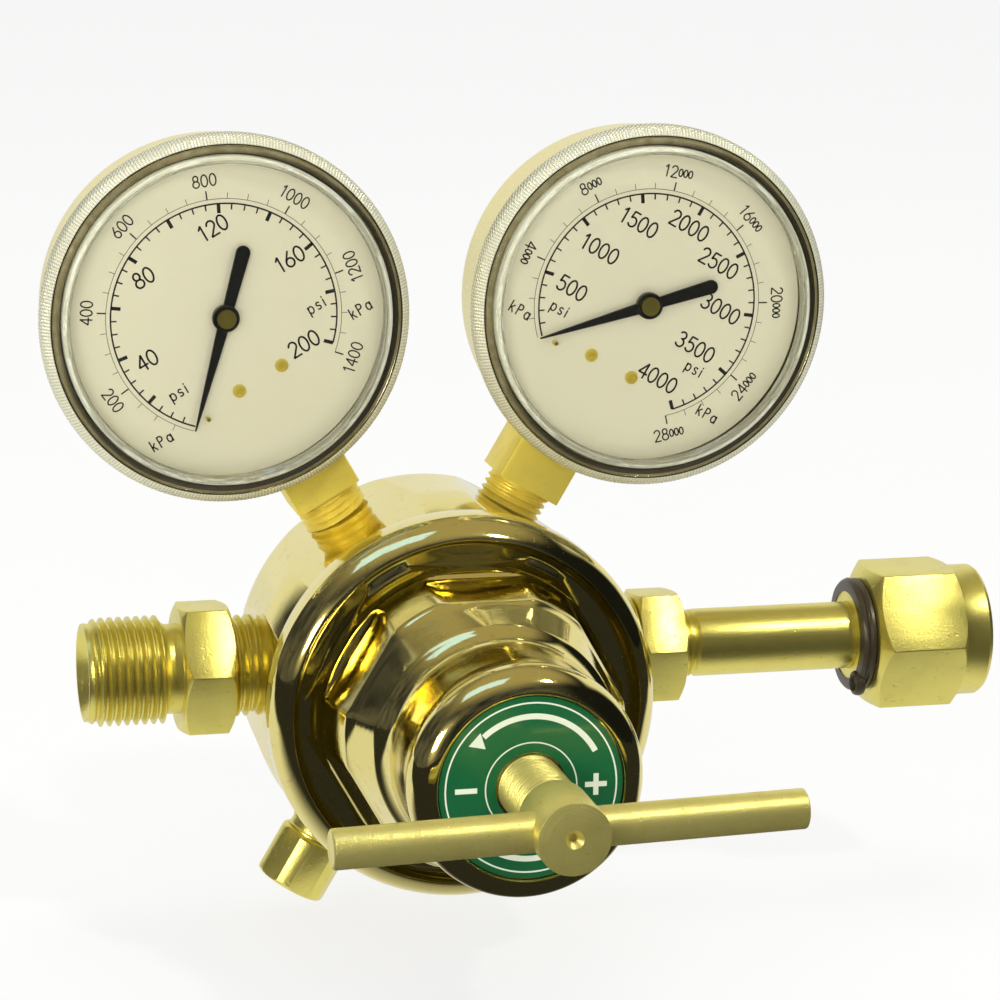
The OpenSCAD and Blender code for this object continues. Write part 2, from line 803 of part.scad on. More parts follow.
module gauge_movement() {
    color("khaki") facing() difference() {
        union() {
            for (w = [plate_back_w, plate_front_w])
                translate([-8, -17.5, w]) cube([16, 23, plate_thick]);
            for (x = [-6.5, 6.5]) for (z = [-15.5, 3.5])
                translate([x, z, 0]) rod(1.1, plate_back_w, plate_front_w + plate_thick);
            for (s = [-1, 1]) translate([s * dial_screw_at[0], dial_screw_at[1], 0])
                rod(1.8, plate_front_w, dial_back);
        }
        rod(arbor_r + run_gap, 0, 20);
        translate([0, pivot_z, 0]) rod(0.6 + run_gap, 0, 20);
        for (s = [-1, 1]) translate([s * dial_screw_at[0], dial_screw_at[1], 0])
            rod(0.7 + thread_gap, plate_front_w - 1, 20);
    }
}

module gauge_dial() {
    color("white") facing() difference() {
        rod(dial_r, dial_back, dial_front);
        rod(1.6, 0, 20);
        for (s = [-1, 1]) translate([s * dial_screw_at[0], dial_screw_at[1], 0])
            rod(0.7 + thread_gap, 0, 20);
        stop_pin_place() rod(0.45 + thread_gap, 0, 20);
    }
}

module stop_pin_place() {
    rotate([0, 0, -129.5]) translate([pointer_l - 2.9, 0, 0]) children();
}

module gauge_stop_pin() {
    color("khaki") facing() stop_pin_place() rod(0.45, dial_back, pointer_front + 0.1);
}

module gauge_dial_screws() {
    color("khaki") facing() for (s = [-1, 1])
        translate([s * dial_screw_at[0], dial_screw_at[1], 0]) difference() {
            union() {
                rod(0.7, plate_front_w + 0.2, dial_front);
                rod(1.35, dial_front, dial_front + 0.7);
            }
            translate([-0.2, -2, dial_front + 0.35]) cube([0.4, 4, 1]);
        }
}

module gauge_pointer() {
    color("black") facing() rotate([0, 0, zero_deg]) difference() {
        union() {
            translate([0, 0, pointer_back]) linear_extrude(height = pointer_front - pointer_back)
                polygon([
                    [pointer_l, -0.2], [pointer_l, 0.2], [2, 1.15], [-2, 1],
                    [1.45 - tail_l, 1.45], [1.45 - tail_l, -1.45], [-2, -1], [2, -1.15]
                ]);
            translate([1.45 - tail_l, 0, 0]) rod(1.45, pointer_back, pointer_front);
            rod(2.7, pointer_back - 0.2, pointer_front + 0.6);
        }
        rod(arbor_r, 0, 20);
    }
}

on_part() body();
on_part() bonnet();
on_part() label_plate();
on_part() adjusting_screw();
on_part() handle_bar();
on_part() spring_button();
on_part() range_spring();
on_part() diaphragm_plate();
on_part() diaphragm();
on_part() slip_ring();
on_part() nozzle();
on_part() nozzle_gasket();
on_part() valve_poppet();
on_part() valve_seat();
on_part() poppet_spring();
on_part() inlet_bushing();
on_part() inlet_filter();
on_part() inlet_nipple();
on_part() inlet_nut();
on_part() nut_keeper();
on_part() outlet_fitting();
on_part() relief_housing();
on_part() relief_poppet();
on_part() relief_spring();
on_part() relief_plug();
on_part() gauge_at(low_deg) gauge_case();  // low_case
on_part() gauge_at(low_deg) gauge_bezel();  // low_bezel
on_part() gauge_at(low_deg) gauge_lens();  // low_lens
on_part() gauge_at(low_deg) gauge_gasket();  // low_gasket
on_part() gauge_at(low_deg) gauge_socket();  // low_socket
on_part() gauge_at(low_deg) gauge_tube();  // low_tube
on_part() gauge_at(low_deg) gauge_tube_tip();  // low_tube_tip
on_part() gauge_at(low_deg) gauge_link();  // low_link
on_part() gauge_at(low_deg) gauge_sector();  // low_sector
on_part() gauge_at(low_deg) gauge_arbor();  // low_arbor
on_part() gauge_at(low_deg) gauge_movement();  // low_movement
on_part() gauge_at(low_deg) gauge_dial();  // low_dial
on_part() gauge_at(low_deg) gauge_dial_screws();  // low_dial_screws
on_part() gauge_at(low_deg) gauge_pointer();  // low_pointer
on_part() gauge_at(low_deg) gauge_stop_pin();  // low_stop_pin
on_part() gauge_at(high_deg) gauge_case();  // high_case
on_part() gauge_at(high_deg) gauge_bezel();  // high_bezel
on_part() gauge_at(high_deg) gauge_lens();  // high_lens
on_part() gauge_at(high_deg) gauge_gasket();  // high_gasket
on_part() gauge_at(high_deg) gauge_socket();  // high_socket
on_part() gauge_at(high_deg) gauge_tube();  // high_tube
on_part() gauge_at(high_deg) gauge_tube_tip();  // high_tube_tip
on_part() gauge_at(high_deg) gauge_link();  // high_link
on_part() gauge_at(high_deg) gauge_sector();  // high_sector
on_part() gauge_at(high_deg) gauge_arbor();  // high_arbor
on_part() gauge_at(high_deg) gauge_movement();  // high_movement
on_part() gauge_at(high_deg) gauge_dial();  // high_dial
on_part() gauge_at(high_deg) gauge_dial_screws();  // high_dial_screws
on_part() gauge_at(high_deg) gauge_pointer();  // high_pointer
on_part() gauge_at(high_deg) gauge_stop_pin();  // high_stop_pin
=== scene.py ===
# %% [markdown]
# # A gas cylinder regulator, dressed piece by piece
# The measured solids are loaded first. They say where every piece is and how it moves.
# Each visible piece is then modelled again with the fine detail that a plain solid leaves
# out: threads, knurling, print on the dials, rounded edges and real metal finishes.

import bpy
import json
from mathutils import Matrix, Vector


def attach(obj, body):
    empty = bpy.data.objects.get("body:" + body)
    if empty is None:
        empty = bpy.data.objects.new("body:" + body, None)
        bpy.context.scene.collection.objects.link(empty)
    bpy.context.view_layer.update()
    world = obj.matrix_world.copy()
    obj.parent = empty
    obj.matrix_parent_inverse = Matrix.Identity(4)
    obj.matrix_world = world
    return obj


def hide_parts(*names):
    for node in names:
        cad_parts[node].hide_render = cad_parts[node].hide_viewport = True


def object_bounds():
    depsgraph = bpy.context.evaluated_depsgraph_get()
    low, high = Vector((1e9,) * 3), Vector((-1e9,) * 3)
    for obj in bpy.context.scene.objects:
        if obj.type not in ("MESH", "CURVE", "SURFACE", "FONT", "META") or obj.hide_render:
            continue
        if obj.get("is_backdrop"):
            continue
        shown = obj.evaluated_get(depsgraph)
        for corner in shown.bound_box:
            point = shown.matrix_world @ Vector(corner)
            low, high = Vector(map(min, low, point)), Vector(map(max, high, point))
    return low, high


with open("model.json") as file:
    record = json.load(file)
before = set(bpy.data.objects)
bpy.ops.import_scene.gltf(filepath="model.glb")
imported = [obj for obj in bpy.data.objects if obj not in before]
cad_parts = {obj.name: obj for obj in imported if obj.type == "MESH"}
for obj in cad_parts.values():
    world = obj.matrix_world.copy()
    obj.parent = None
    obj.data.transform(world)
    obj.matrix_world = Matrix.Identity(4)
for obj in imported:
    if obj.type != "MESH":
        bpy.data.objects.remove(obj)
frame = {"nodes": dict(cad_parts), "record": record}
solid_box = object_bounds()

# %% [markdown]
# ## One set of axes
# A regulator is turned on a lathe about several axes: the bonnet's, each port's and each
# gauge's. A piece is therefore drawn standing on its own Z axis, in millimetres, and one
# matrix carries it home. The row's origin is the mouth of the inlet nut, so the bonnet's
# axis lies one reach to the left of it.

# %% Placing helpers
import json
from math import asin, atan2, ceil, cos, hypot, pi, radians, sin

import bmesh
import bpy
from mathutils import Matrix, Vector

MM = 0.001
REACH = 121.0
HOME = Matrix.Translation((-REACH * MM, 0, 0)) @ Matrix.Scale(MM, 4)


def turned(degrees, axis):
    return Matrix.Rotation(radians(degrees), 4, axis)


def moved(x=0.0, y=0.0, z=0.0):
    return Matrix.Translation((x, y, z))


def out_of(degrees):
    """The local Z axis leaves the body through a port, counted from the inlet upwards."""
    return turned(90 - degrees, "Y")


FACING = turned(90, "X")
GAUGE_DISTANCE = 86.7


def gauge_home(degrees):
    """A gauge's hub is the origin, local Y runs away from the body and Z to the front."""
    return turned(90 - degrees, "Y") @ moved(z=GAUGE_DISTANCE) @ FACING


INLET, HIGH, LOW, OUTLET, RELIEF = 0, 60, 120, 180, 240
print("bonnet axis at x =", -REACH, "mm")

# %% [markdown]
# ## Shader maths as Python
# A finish is a graph of nodes. Written out node by node it is hard to read, so one small
# class wraps a socket and lets Python's own operators add the Math nodes. Any other node
# comes from one method that takes its type, its settings and its inputs.


# %% A socket that can be reckoned with
class Wire:
    def __init__(self, finish, socket):
        self.finish = finish
        self.socket = socket

    def math(self, operation, *values):
        inputs = dict(enumerate(values))
        return self.finish.node("ShaderNodeMath", {"operation": operation}, inputs)

    def __add__(self, other):
        return self.math("ADD", self, other)

    def __sub__(self, other):
        return self.math("SUBTRACT", self, other)

    def __rsub__(self, other):
        return self.math("SUBTRACT", other, self)

    def __mul__(self, other):
        return self.math("MULTIPLY", self, other)

    def __pow__(self, other):
        return self.math("POWER", self, other)

    __radd__ = __add__

    def apply(self, operation):
        """One of the Math node's functions of a single value."""
        return self.math(operation, self)

    def above(self, level, softness):
        """0 below the level, 1 above it, with a soft step between."""
        return self.finish.node(
            "ShaderNodeMapRange", {"interpolation_type": "SMOOTHSTEP"},
            {"Value": self, "From Min": level - softness, "From Max": level + softness})


class Finish:
    def __init__(self, name):
        self.material = bpy.data.materials.new(name)
        self.material.use_nodes = True
        self.tree = self.material.node_tree
        self.tree.nodes.clear()

    def node(self, kind, settings=None, inputs=None, output=0):
        made = self.tree.nodes.new(kind)
        for key, value in (settings or {}).items():
            if key == "stops":
                for index, (place, colour) in enumerate(value):
                    ramp = made.color_ramp.elements
                    stop = ramp[index] if index < 2 else ramp.new(place)
                    stop.position, stop.color = place, (*colour, 1)
            else:
                setattr(made, key, value)
        for key, value in (inputs or {}).items():
            socket = made.inputs[key]
            if isinstance(value, Wire):
                self.tree.links.new(value.socket, socket)
            else:
                socket.default_value = value
        return Wire(self, made.outputs[output]) if len(made.outputs) else None

    def place(self, own=True):
        """Millimetres on the piece itself, or in the row's frame for a plain solid."""
        if own:
            return self.node("ShaderNodeAttribute", {"attribute_name": "own"}, output=1)
        spot = self.node("ShaderNodeTexCoord", output=3)
        return self.scaled(spot, 1 / MM)

    def scaled(self, vector, *factors):
        by = factors if len(factors) == 3 else factors * 3
        return self.node("ShaderNodeVectorMath", {"operation": "MULTIPLY"}, {0: vector, 1: by})

    def noise(self, vector, scale, detail=2.0, roughness=0.5):
        return self.node("ShaderNodeTexNoise", {}, {
            "Vector": vector, "Scale": scale, "Detail": detail, "Roughness": roughness})

    def mix(self, factor, first, second):
        return self.node("ShaderNodeMix", {"data_type": "RGBA"},
                         {0: factor, 6: first, 7: second}, output=2)

    def split(self, vector):
        parts = self.tree.nodes.new("ShaderNodeSeparateXYZ")
        self.tree.links.new(vector.socket, parts.inputs[0])
        return [Wire(self, parts.outputs[i]) for i in range(3)]

    def radius_and_height(self, place):
        """Distance from the piece's own axis, and height along it."""
        x, y, z = self.split(place)
        return (x * x + y * y) ** 0.5, z

    def bump(self, height, depth, strength=1.0, normal=None):
        inputs = {"Height": height, "Distance": depth * MM, "Strength": strength}
        if normal is not None:
            inputs["Normal"] = normal
        return self.node("ShaderNodeBump", {}, inputs)

    def surface_only(self, **inputs):
        named = {key.replace("_", " "): value for key, value in inputs.items()}
        return self.node("ShaderNodeBsdfPrincipled", {}, named)

    def surface(self, **inputs):
        return self.out(self.surface_only(**inputs))

    def out(self, shader):
        self.node("ShaderNodeOutputMaterial", {}, {"Surface": shader})
        return self.material


def rgb(red, green, blue):
    return (red, green, blue, 1.0)


# %% [markdown]
# ## The metals
# Three treatments of brass show. The body and bonnet are buffed to a mirror, with faint
# ripples, wiping haze and hairlines. The fittings are as they left the lathe or the
# milling cutter, with fine rings about their own axis. The gauge cases are drawn sheet
# under gold lacquer. The rings follow distance from and height along the piece's own
# axis, so they read an attribute that keeps each point's own place.

# %% Brass finishes
MIRROR_BRASS = rgb(0.87, 0.76, 0.30)
TARNISH = rgb(0.56, 0.36, 0.12)
TURNED_BRASS = rgb(0.85, 0.75, 0.20)
DULL_BRASS = rgb(0.64, 0.53, 0.13)
LACQUER = rgb(0.86, 0.78, 0.33)


def mirror_brass(name, own=True):
    finish = Finish(name)
    spot = finish.place(own)
    haze = finish.noise(spot, 0.06, 3.0, 0.6)
    wipe = finish.noise(finish.scaled(spot, 0.25, 0.25, 1.6), 1.1, 3.0, 0.6)
    stain = finish.noise(spot, 0.35, 4.0, 0.65).above(0.66, 0.09)
    specks = finish.noise(spot, 2.2, 1.0, 0.5).above(0.74, 0.03)
    colour = finish.mix(stain * 0.35 + specks * 0.4, MIRROR_BRASS, TARNISH)
    ripple = finish.bump(finish.noise(spot, 0.11, 1.0, 0.4), 0.10)
    hairline = finish.bump(wipe, 0.012, 1.0, ripple)
    return finish.surface(
        Base_Color=colour, Metallic=1.0,
        Roughness=haze.above(0.56, 0.16) * 0.06 + wipe * 0.03 + specks * 0.2 + 0.035,
        Normal=hairline)


def turned_brass(name, own=True, roughness=0.24, marks=1.0, colour=TURNED_BRASS,
                 metallic=0.94):
    finish = Finish(name)
    spot = finish.place(own)
    radius, height = finish.radius_and_height(spot)
    rings = finish.node("ShaderNodeCombineXYZ", {},
                        {0: radius * 3.2, 1: height * 3.2, 2: finish.noise(spot, 0.05) * 0.8})
    rings = finish.noise(rings, 1.0, 3.0, 0.7)
    blotch = finish.noise(spot, 0.16, 3.0, 0.6)
    dents = finish.noise(spot, 0.9, 2.0, 0.5).above(0.70, 0.05)
    grain = finish.noise(spot, 2.6, 2.0, 0.6)
    shade = blotch.above(0.6, 0.22) * 0.30 + dents * 0.35 + rings * 0.12
    cut = finish.bump(rings, 0.030 * marks)
    frosted = finish.bump(grain, 0.050, 0.8, cut)
    knocks = finish.bump(1 - dents, 0.05, 0.7, frosted)
    return finish.surface(
        Base_Color=finish.mix(shade, colour, DULL_BRASS), Metallic=metallic,
        Roughness=roughness + blotch * 0.08 + rings * 0.06 + dents * 0.1, Normal=knocks)


def lacquered_case(name, own=True):
    finish = Finish(name)
    spot = finish.place(own)
    cloud = finish.noise(spot, 0.05, 2.0, 0.5)
    grain = finish.noise(finish.scaled(spot, 1.0, 1.0, 0.2), 1.6, 3.0, 0.6)
    return finish.surface(
        Base_Color=finish.mix(cloud * 0.5, LACQUER, rgb(0.86, 0.68, 0.28)), Metallic=0.85,
        Roughness=0.22 + grain * 0.14, Normal=finish.bump(grain, 0.02),
        Coat_Weight=0.3, Coat_Roughness=0.15)


polished = mirror_brass("polished_brass")
lathe_brass = turned_brass("turned_brass")
milled_brass = turned_brass("milled_brass", roughness=0.25, marks=0.5)
bar_brass = turned_brass("bar_brass", roughness=0.33, marks=2.5, metallic=0.86,
                         colour=rgb(0.92, 0.82, 0.27))
stem_brass = turned_brass("stem_brass", roughness=0.34, marks=0.6,
                          colour=rgb(0.95, 0.77, 0.13), metallic=0.50)
pin_brass = turned_brass("pin_brass", roughness=0.14, colour=rgb(0.62, 0.56, 0.22), metallic=1.0)
case_gold = lacquered_case("gold_lacquer")
print("brass finishes:", 7)

# %% [markdown]
# ## The other finishes
# The bezels are nickel plated, the keeper ring is dark oxide, the dial plate is printed
# white tinplate that has yellowed a little, the ink is matt and the pointers are satin
# black. The label's foil is glossy.

# %% Nickel, dark ring, dial, ink and label


def nickel_plate(name, roughness, metallic, first, second):
    finish = Finish(name)
    spot = finish.place()
    wear = finish.noise(spot, 0.4, 3.0, 0.6)
    return finish.surface(Base_Color=finish.mix(wear.above(0.52, 0.2) * 0.8, first, second),
                          Metallic=metallic, Roughness=roughness + wear * 0.12,
                          Normal=finish.bump(wear, 0.02))


def knurled_nickel(name):
    """Cut diamonds catch the light on their points through their bump; the valleys get painted
    shade, a darker colour mixed with wear.
    """
    finish = Finish(name)
    spot = finish.place()
    across, along, _ = finish.split(spot)
    radius, height = finish.radius_and_height(spot)
    around = across.math("ARCTAN2", along, across) * 170
    slope = (height - radius) * 5.2
    left, right = around + slope, around - slope
    diamonds = left.apply("SINE") * right.apply("SINE")
    wear = finish.noise(spot, 1.4, 3.0, 0.6)
    # Painted shade: where the diamonds dip, the knurled band gets a darker colour, broken up by
    # wear noise.
    valley_shade_and_wear = (wear * 0.6 - diamonds).above(0.45, 0.40) * radius.above(34.6, 0.4)
    return finish.surface(
        Base_Color=finish.mix(valley_shade_and_wear, rgb(0.93, 0.92, 0.78), rgb(0.58, 0.56, 0.34)), Metallic=0.45,
        Roughness=0.18 + wear * 0.14, Normal=finish.bump(diamonds, 0.07))


def plain_coat(name, first, second, roughness, metallic=0.0, grain=1.2, own=True, coat=0.0):
    finish = Finish(name)
    spot = finish.place(own)
    fine = finish.noise(spot, grain, 3.0, 0.6)
    cloud = finish.noise(spot, 0.12, 2.0, 0.5)
    return finish.surface(
        Base_Color=finish.mix(cloud * 0.6 + fine * 0.4, first, second), Metallic=metallic,
        Roughness=roughness + fine * 0.12, Normal=finish.bump(fine, 0.02), Coat_Weight=coat)


satin_nickel = knurled_nickel("satin_nickel")
mirror_nickel = nickel_plate("mirror_nickel", 0.17, 1.0, rgb(0.62, 0.56, 0.40),
                             rgb(0.52, 0.44, 0.26))
keeper_dark = plain_coat("dark_ring", rgb(0.022, 0.017, 0.010), rgb(0.075, 0.058, 0.032), 0.28, 0.3)
dial_white = plain_coat("dial_white", rgb(0.88, 0.855, 0.665), rgb(0.84, 0.815, 0.625), 0.45)
ink = plain_coat("ink", rgb(0.012, 0.012, 0.012), rgb(0.03, 0.03, 0.028), 0.5)
grey_ink = plain_coat("grey_ink", rgb(0.11, 0.11, 0.09), rgb(0.17, 0.17, 0.14), 0.5)
pointer_black = plain_coat("pointer_black", rgb(0.008, 0.008, 0.008), rgb(0.02, 0.02, 0.02), 0.3)
label_green = plain_coat("label_green", rgb(0.004, 0.088, 0.028), rgb(0.008, 0.115, 0.038), 0.16,
                         coat=0.6)
label_white = plain_coat("label_white", rgb(0.70, 0.74, 0.60), rgb(0.60, 0.66, 0.52), 0.3)
print("coats:", 9)

# %% [markdown]
# ## Clear lens
# The lens is a thin moulded dome. Real refraction in a thin shell barely moves what is
# behind it, but makes it dark and noisy to render, so the dome lets light straight
# through and only reflects, more at a glancing angle. Its thick rim is partly milky, with
# brighter streaks that run around it: painted light that stands in for what the clear rim bends and
# reflects.

# %% Lens finishes


def thin_lens(name):
    finish = Finish(name)
    smear = finish.noise(finish.place(), 0.1, 3.0, 0.6)
    clear = finish.node("ShaderNodeBsdfTransparent", {}, {"Color": rgb(0.99, 0.985, 0.97)})
    gloss = finish.node("ShaderNodeBsdfGlossy", {}, {
        "Color": rgb(1, 1, 1), "Roughness": smear.above(0.6, 0.2) * 0.05 + 0.01})
    edge = finish.node("ShaderNodeFresnel", {}, {"IOR": 1.45})
    return finish.out(finish.node("ShaderNodeMixShader", {}, {0: edge * 0.8, 1: clear, 2: gloss}))


def thick_rim(name):
    """The standing wall is partly milky with bright streaks: painted light, standing in for what
    the thick clear rim bends and reflects.
    """
    finish = Finish(name)
    radius, height = finish.radius_and_height(finish.place())
    slow = finish.noise(finish.place(), 0.10, 1.0, 0.5)
    # Painted light: pale streaks around the rim stand in for light bent and reflected in the thick
    # clear wall.
    bent_light_streak = finish.noise(finish.node("ShaderNodeCombineXYZ", {}, {
        0: radius * 2.4, 1: height * 2.4, 2: slow * 5}), 1.0, 3.0, 0.7)
    clear = finish.node("ShaderNodeBsdfTransparent", {}, {"Color": rgb(0.97, 0.98, 0.95)})
    milky_bent_light = finish.surface_only(
        Base_Color=finish.mix(bent_light_streak.above(0.55, 0.12), rgb(0.70, 0.69, 0.52),
                              rgb(0.96, 0.96, 0.86)),
        Roughness=0.08 + bent_light_streak * 0.05)
    return finish.out(finish.node("ShaderNodeMixShader", {}, {
        0: bent_light_streak.above(0.5, 0.2) * 0.30 + 0.26, 1: clear, 2: milky_bent_light}))


lens_clear = thin_lens("lens_clear")
lens_rim = thick_rim("lens_rim")
print("lens finishes:", 2)

# %% [markdown]
# ## Lathe, mill and die
# Nearly every piece here is turned, so the workhorse is a lathe: an outline of radius and
# height, spun about Z. A hexagon is not extruded: the bar is turned first and its flats
# are then sliced off, which gives the curved edges that a real chamfered hexagon has. A
# thread is one tooth spun with a rise at each step.


# %% Outline, lathe and flats
def bow(x, y, rx, ry, start, stop, count=12):
    """Points on an ellipse's arc, the angle counted from the first axis to the second."""
    steps = [radians(start + (stop - start) * i / count) for i in range(count + 1)]
    return [(x + rx * cos(a), y + ry * sin(a)) for a in steps]


def arc(centre, radius, start, stop, count=8):
    """Points on a round arc of an outline."""
    return bow(*centre, radius, radius, start, stop, count)


def lathe(bm, outline, steps=96, closed=False, sweep=360):
    verts = [bm.verts.new((radius, 0, height)) for radius, height in outline]
    pairs = list(zip(verts, verts[1:]))
    if closed:
        pairs.append((verts[-1], verts[0]))
    edges = [bm.edges.new(pair) for pair in pairs]
    whole = sweep == 360
    bmesh.ops.spin(bm, geom=verts + edges, cent=(0, 0, 0), axis=(0, 0, 1), dvec=(0, 0, 0),
                   angle=radians(sweep), steps=steps, use_merge=whole)
    if not whole:
        bmesh.ops.holes_fill(bm, edges=[e for e in bm.edges if e.is_boundary], sides=0)


def draw_out(vert, factor):
    """Moves a point away from the piece's own axis, or towards it."""
    vert.co.x *= factor
    vert.co.y *= factor


def weld(bm):
    bmesh.ops.remove_doubles(bm, verts=bm.verts, dist=0.0005)
    bmesh.ops.dissolve_degenerate(bm, edges=bm.edges, dist=0.0001)


def slice_off(bm, point, normal, fill=True):
    """Cuts away all beyond a plane and closes the cut."""
    geometry = bm.verts[:] + bm.edges[:] + bm.faces[:]
    cut = bmesh.ops.bisect_plane(bm, geom=geometry, dist=0.00001, plane_co=point,
                                 plane_no=normal, clear_outer=True)
    rim = [g for g in cut["geom_cut"] if isinstance(g, bmesh.types.BMEdge)]
    if fill and rim:
        bmesh.ops.edgeloop_fill(bm, edges=rim)
    return rim


def mill_flats(bm, across, turn):
    weld(bm)
    for index in range(6):
        angle = radians(turn + 60 * (index + 0.5))
        normal = Vector((cos(angle), sin(angle), 0))
        slice_off(bm, normal * across / 2, normal)


def soften(bm, width, angle=24, segments=2, where=None):
    """Rounds the edges that turn by more than that angle."""
    weld(bm)
    sharp = [e for e in bm.edges if len(e.link_faces) == 2
             and e.calc_face_angle(0) > radians(angle) and (where is None or where(e))]
    bmesh.ops.bevel(bm, geom=sharp, offset=width, offset_type="OFFSET", segments=segments,
                    profile=0.5, affect="EDGES", material=-1, clamp_overlap=True)


print("lathe ready")


# %% Threads
def rim_of(bm, height, fill=False):
    edges = [e for e in bm.edges if e.is_boundary
             and all(abs(v.co.z - height) < 0.002 for v in e.verts)]
    if fill and edges:
        bmesh.ops.edgeloop_fill(bm, edges=edges)
    return edges


def carry_rim(bm, rim, outline, close=True):
    """Grows a loop of edges from ring to ring, each a radius and a height."""
    for radius, height in outline:
        grown = bmesh.ops.extrude_edge_only(bm, edges=rim)["geom"]
        rim = [g for g in grown if isinstance(g, bmesh.types.BMEdge) and g.is_boundary]
        for vert in {v for e in rim for v in e.verts}:
            angle = atan2(vert.co.y, vert.co.x)
            vert.co = (radius * cos(angle), radius * sin(angle), height)
    if close:
        bmesh.ops.edgeloop_fill(bm, edges=rim)
    return rim


def thread(bm, crest, root, pitch, start, end, limit=None, steps=48):
    """A tooth spun with a rise, cut square at both heights. Returns the two rims."""
    turns = ceil((end - start) / pitch) + 2
    low = start - pitch
    tooth = [(root, 0), (root, 0.10), (crest, 0.42), (crest, 0.56), (root, 0.88), (root, 1)]
    verts = [bm.verts.new((radius, 0, low + share * pitch)) for radius, share in tooth]
    edges = [bm.edges.new(pair) for pair in zip(verts, verts[1:])]
    bmesh.ops.spin(bm, geom=verts + edges, cent=(0, 0, 0), axis=(0, 0, 1),
                   dvec=(0, 0, pitch / steps), angle=2 * pi * turns, steps=steps * turns,
                   use_merge=False)
    weld(bm)
    if limit:
        for vert in bm.verts:
            radius = hypot(vert.co.x, vert.co.y)
            most = limit(vert.co.z)
            if radius > most:
                draw_out(vert, most / radius)
    slice_off(bm, (0, 0, start), (0, 0, -1), fill=False)
    slice_off(bm, (0, 0, end), (0, 0, 1), fill=False)
    return rim_of(bm, start), rim_of(bm, end)


def threaded_rod(crest, root, pitch, start, end, limit=None):
    bm = bmesh.new()
    below, above = thread(bm, crest, root, pitch, start, end, limit)
    carry_rim(bm, below, [(root * 0.5, start)])
    carry_rim(bm, above, [(root * 0.5, end)])
    return bm


# %% [markdown]
# ## From mesh to piece
# A finished piece keeps each point's own place as an attribute before it is carried home,
# gets its finishes, and rides on the body that its solid belongs to.


# %% Finishing a piece
def join(*meshes):
    """Several bmeshes as one. The second finish of a pair is chosen with mark()."""
    whole = bmesh.new()
    for bm in meshes:
        mesh = bpy.data.meshes.new("part")
        bm.to_mesh(mesh)
        bm.free()
        whole.from_mesh(mesh)
        bpy.data.meshes.remove(mesh)
    return whole


def mark(bm, index):
    for face in bm.faces:
        face.material_index = index
    return bm


def shifted(bm, matrix):
    bmesh.ops.transform(bm, matrix=matrix, verts=bm.verts)
    return bm


triangles = 0


def make_piece(name, bm, home, finishes, body="regulator", stands_for=(), sharp=28):
    global triangles
    weld(bm)
    bmesh.ops.recalc_face_normals(bm, faces=bm.faces)
    own = bm.verts.layers.float_vector.new("own")
    for vert in bm.verts:
        vert[own] = vert.co
    bmesh.ops.transform(bm, matrix=HOME @ home, verts=bm.verts)
    mesh = bpy.data.meshes.new(name)
    bm.to_mesh(mesh)
    bm.free()
    mesh.shade_smooth()
    mesh.set_sharp_from_angle(angle=radians(sharp))
    for finish in finishes:
        mesh.materials.append(finish)
    piece = bpy.data.objects.new(name, mesh)
    bpy.context.scene.collection.objects.link(piece)
    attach(piece, body)
    if stands_for:
        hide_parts(*stands_for)
    count = sum(len(p.vertices) - 2 for p in mesh.polygons)
    triangles += count
    print(name, count, "triangles")


# %% [markdown]
# ## The forged body
# A round cup with a rolled back edge, polished all over. Five flats are milled on its side
# where the ports are, so it is turned whole and then sliced. A faint line shows where the
# forging dies met.

# %% Body
FLAT_DISTANCE = 36.0
body = bmesh.new()
lathe(body, [(0, -16)] + arc((24, -2), 14, -90, 0, 16) + [
    (38.05, 0), (38.9, 15), (39, 17.6), (38.97, 18.0), (38.94, 18.4), (38.3, 32.6), (38.1, 33),
    (30, 33), (0, 33)], steps=224)
weld(body)
for port in (INLET, HIGH, LOW, OUTLET, RELIEF):
    away = Vector((cos(radians(port)), sin(radians(port)), 0))
    slice_off(body, away * FLAT_DISTANCE, away)
soften(body, 0.3, angle=18, where=lambda e: all(
    hypot(v.co.x, v.co.y) > FLAT_DISTANCE - 0.05 and v.co.z < 32 for v in e.verts))
make_piece("body_shell", body, FACING, [polished], stands_for=["body"],
           sharp=24)

# %% [markdown]
# ## The bonnet
# Below, a broad bead and a deep groove. Above them the wrench boss has six soft flats, then
# come a shoulder, a waisted neck and a rolled nose. The outline is spun as if the bonnet
# were round, and the rows of the boss are then pressed in towards the six flats: each
# point keeps its angle and takes the smaller of the round radius and the flat's distance,
# with a soft step between the two. On the shoulder the press fades in a straight line,
# from the six-sided ridge at the boss's end to the round foot of the neck.

# %% Bonnet outline
bead = arc((38.3, 38.35), 0.8, 0, 10, 3) + arc((31.34, 36.66), 8.0, 14, 54, 14)
bead += [(35.7, 43.36), (35.4, 43.5), (35.2, 43.54), (35.05, 43.45), (34.97, 43.3)]
groove = [(33.0 + (r - 33.0) * 0.54, h) for r, h in arc((33.0, 43.2), 3.6, -6, -90, 14)]
foot = arc((33.0, 43.2), 3.6, -98, -172, 9) + [(29.52, 43.9), (29.72, 44.8), (29.92, 45.5)]
side = [(30.08, 45.7), (30.12, 46.0), (30.08, 46.3), (30.0, 46.6), (29.75, 48), (29.35, 50.2),
        (28.95, 52.6), (28.55, 55.0), (28.2, 57.0), (28.08, 57.6), (27.95, 57.9), (27.75, 58.2),
        (27.5, 58.5)]
shoulder = [(26.6, 60.6), (25.65, 62.9), (24.85, 64.8), (24.35, 66.1), (24.15, 66.6),
            (23.9, 67.0), (23.5, 67.35), (22.9, 68.1), (22.35, 69.0), (22.0, 70.0),
            (21.85, 71.2)]
neck = [(21.8, 74), (21.8, 78), (21.8, 82), (21.85, 85.4), (22.0, 86.3), (22.3, 87.0),
        (22.55, 87.5), (22.65, 88.1)]
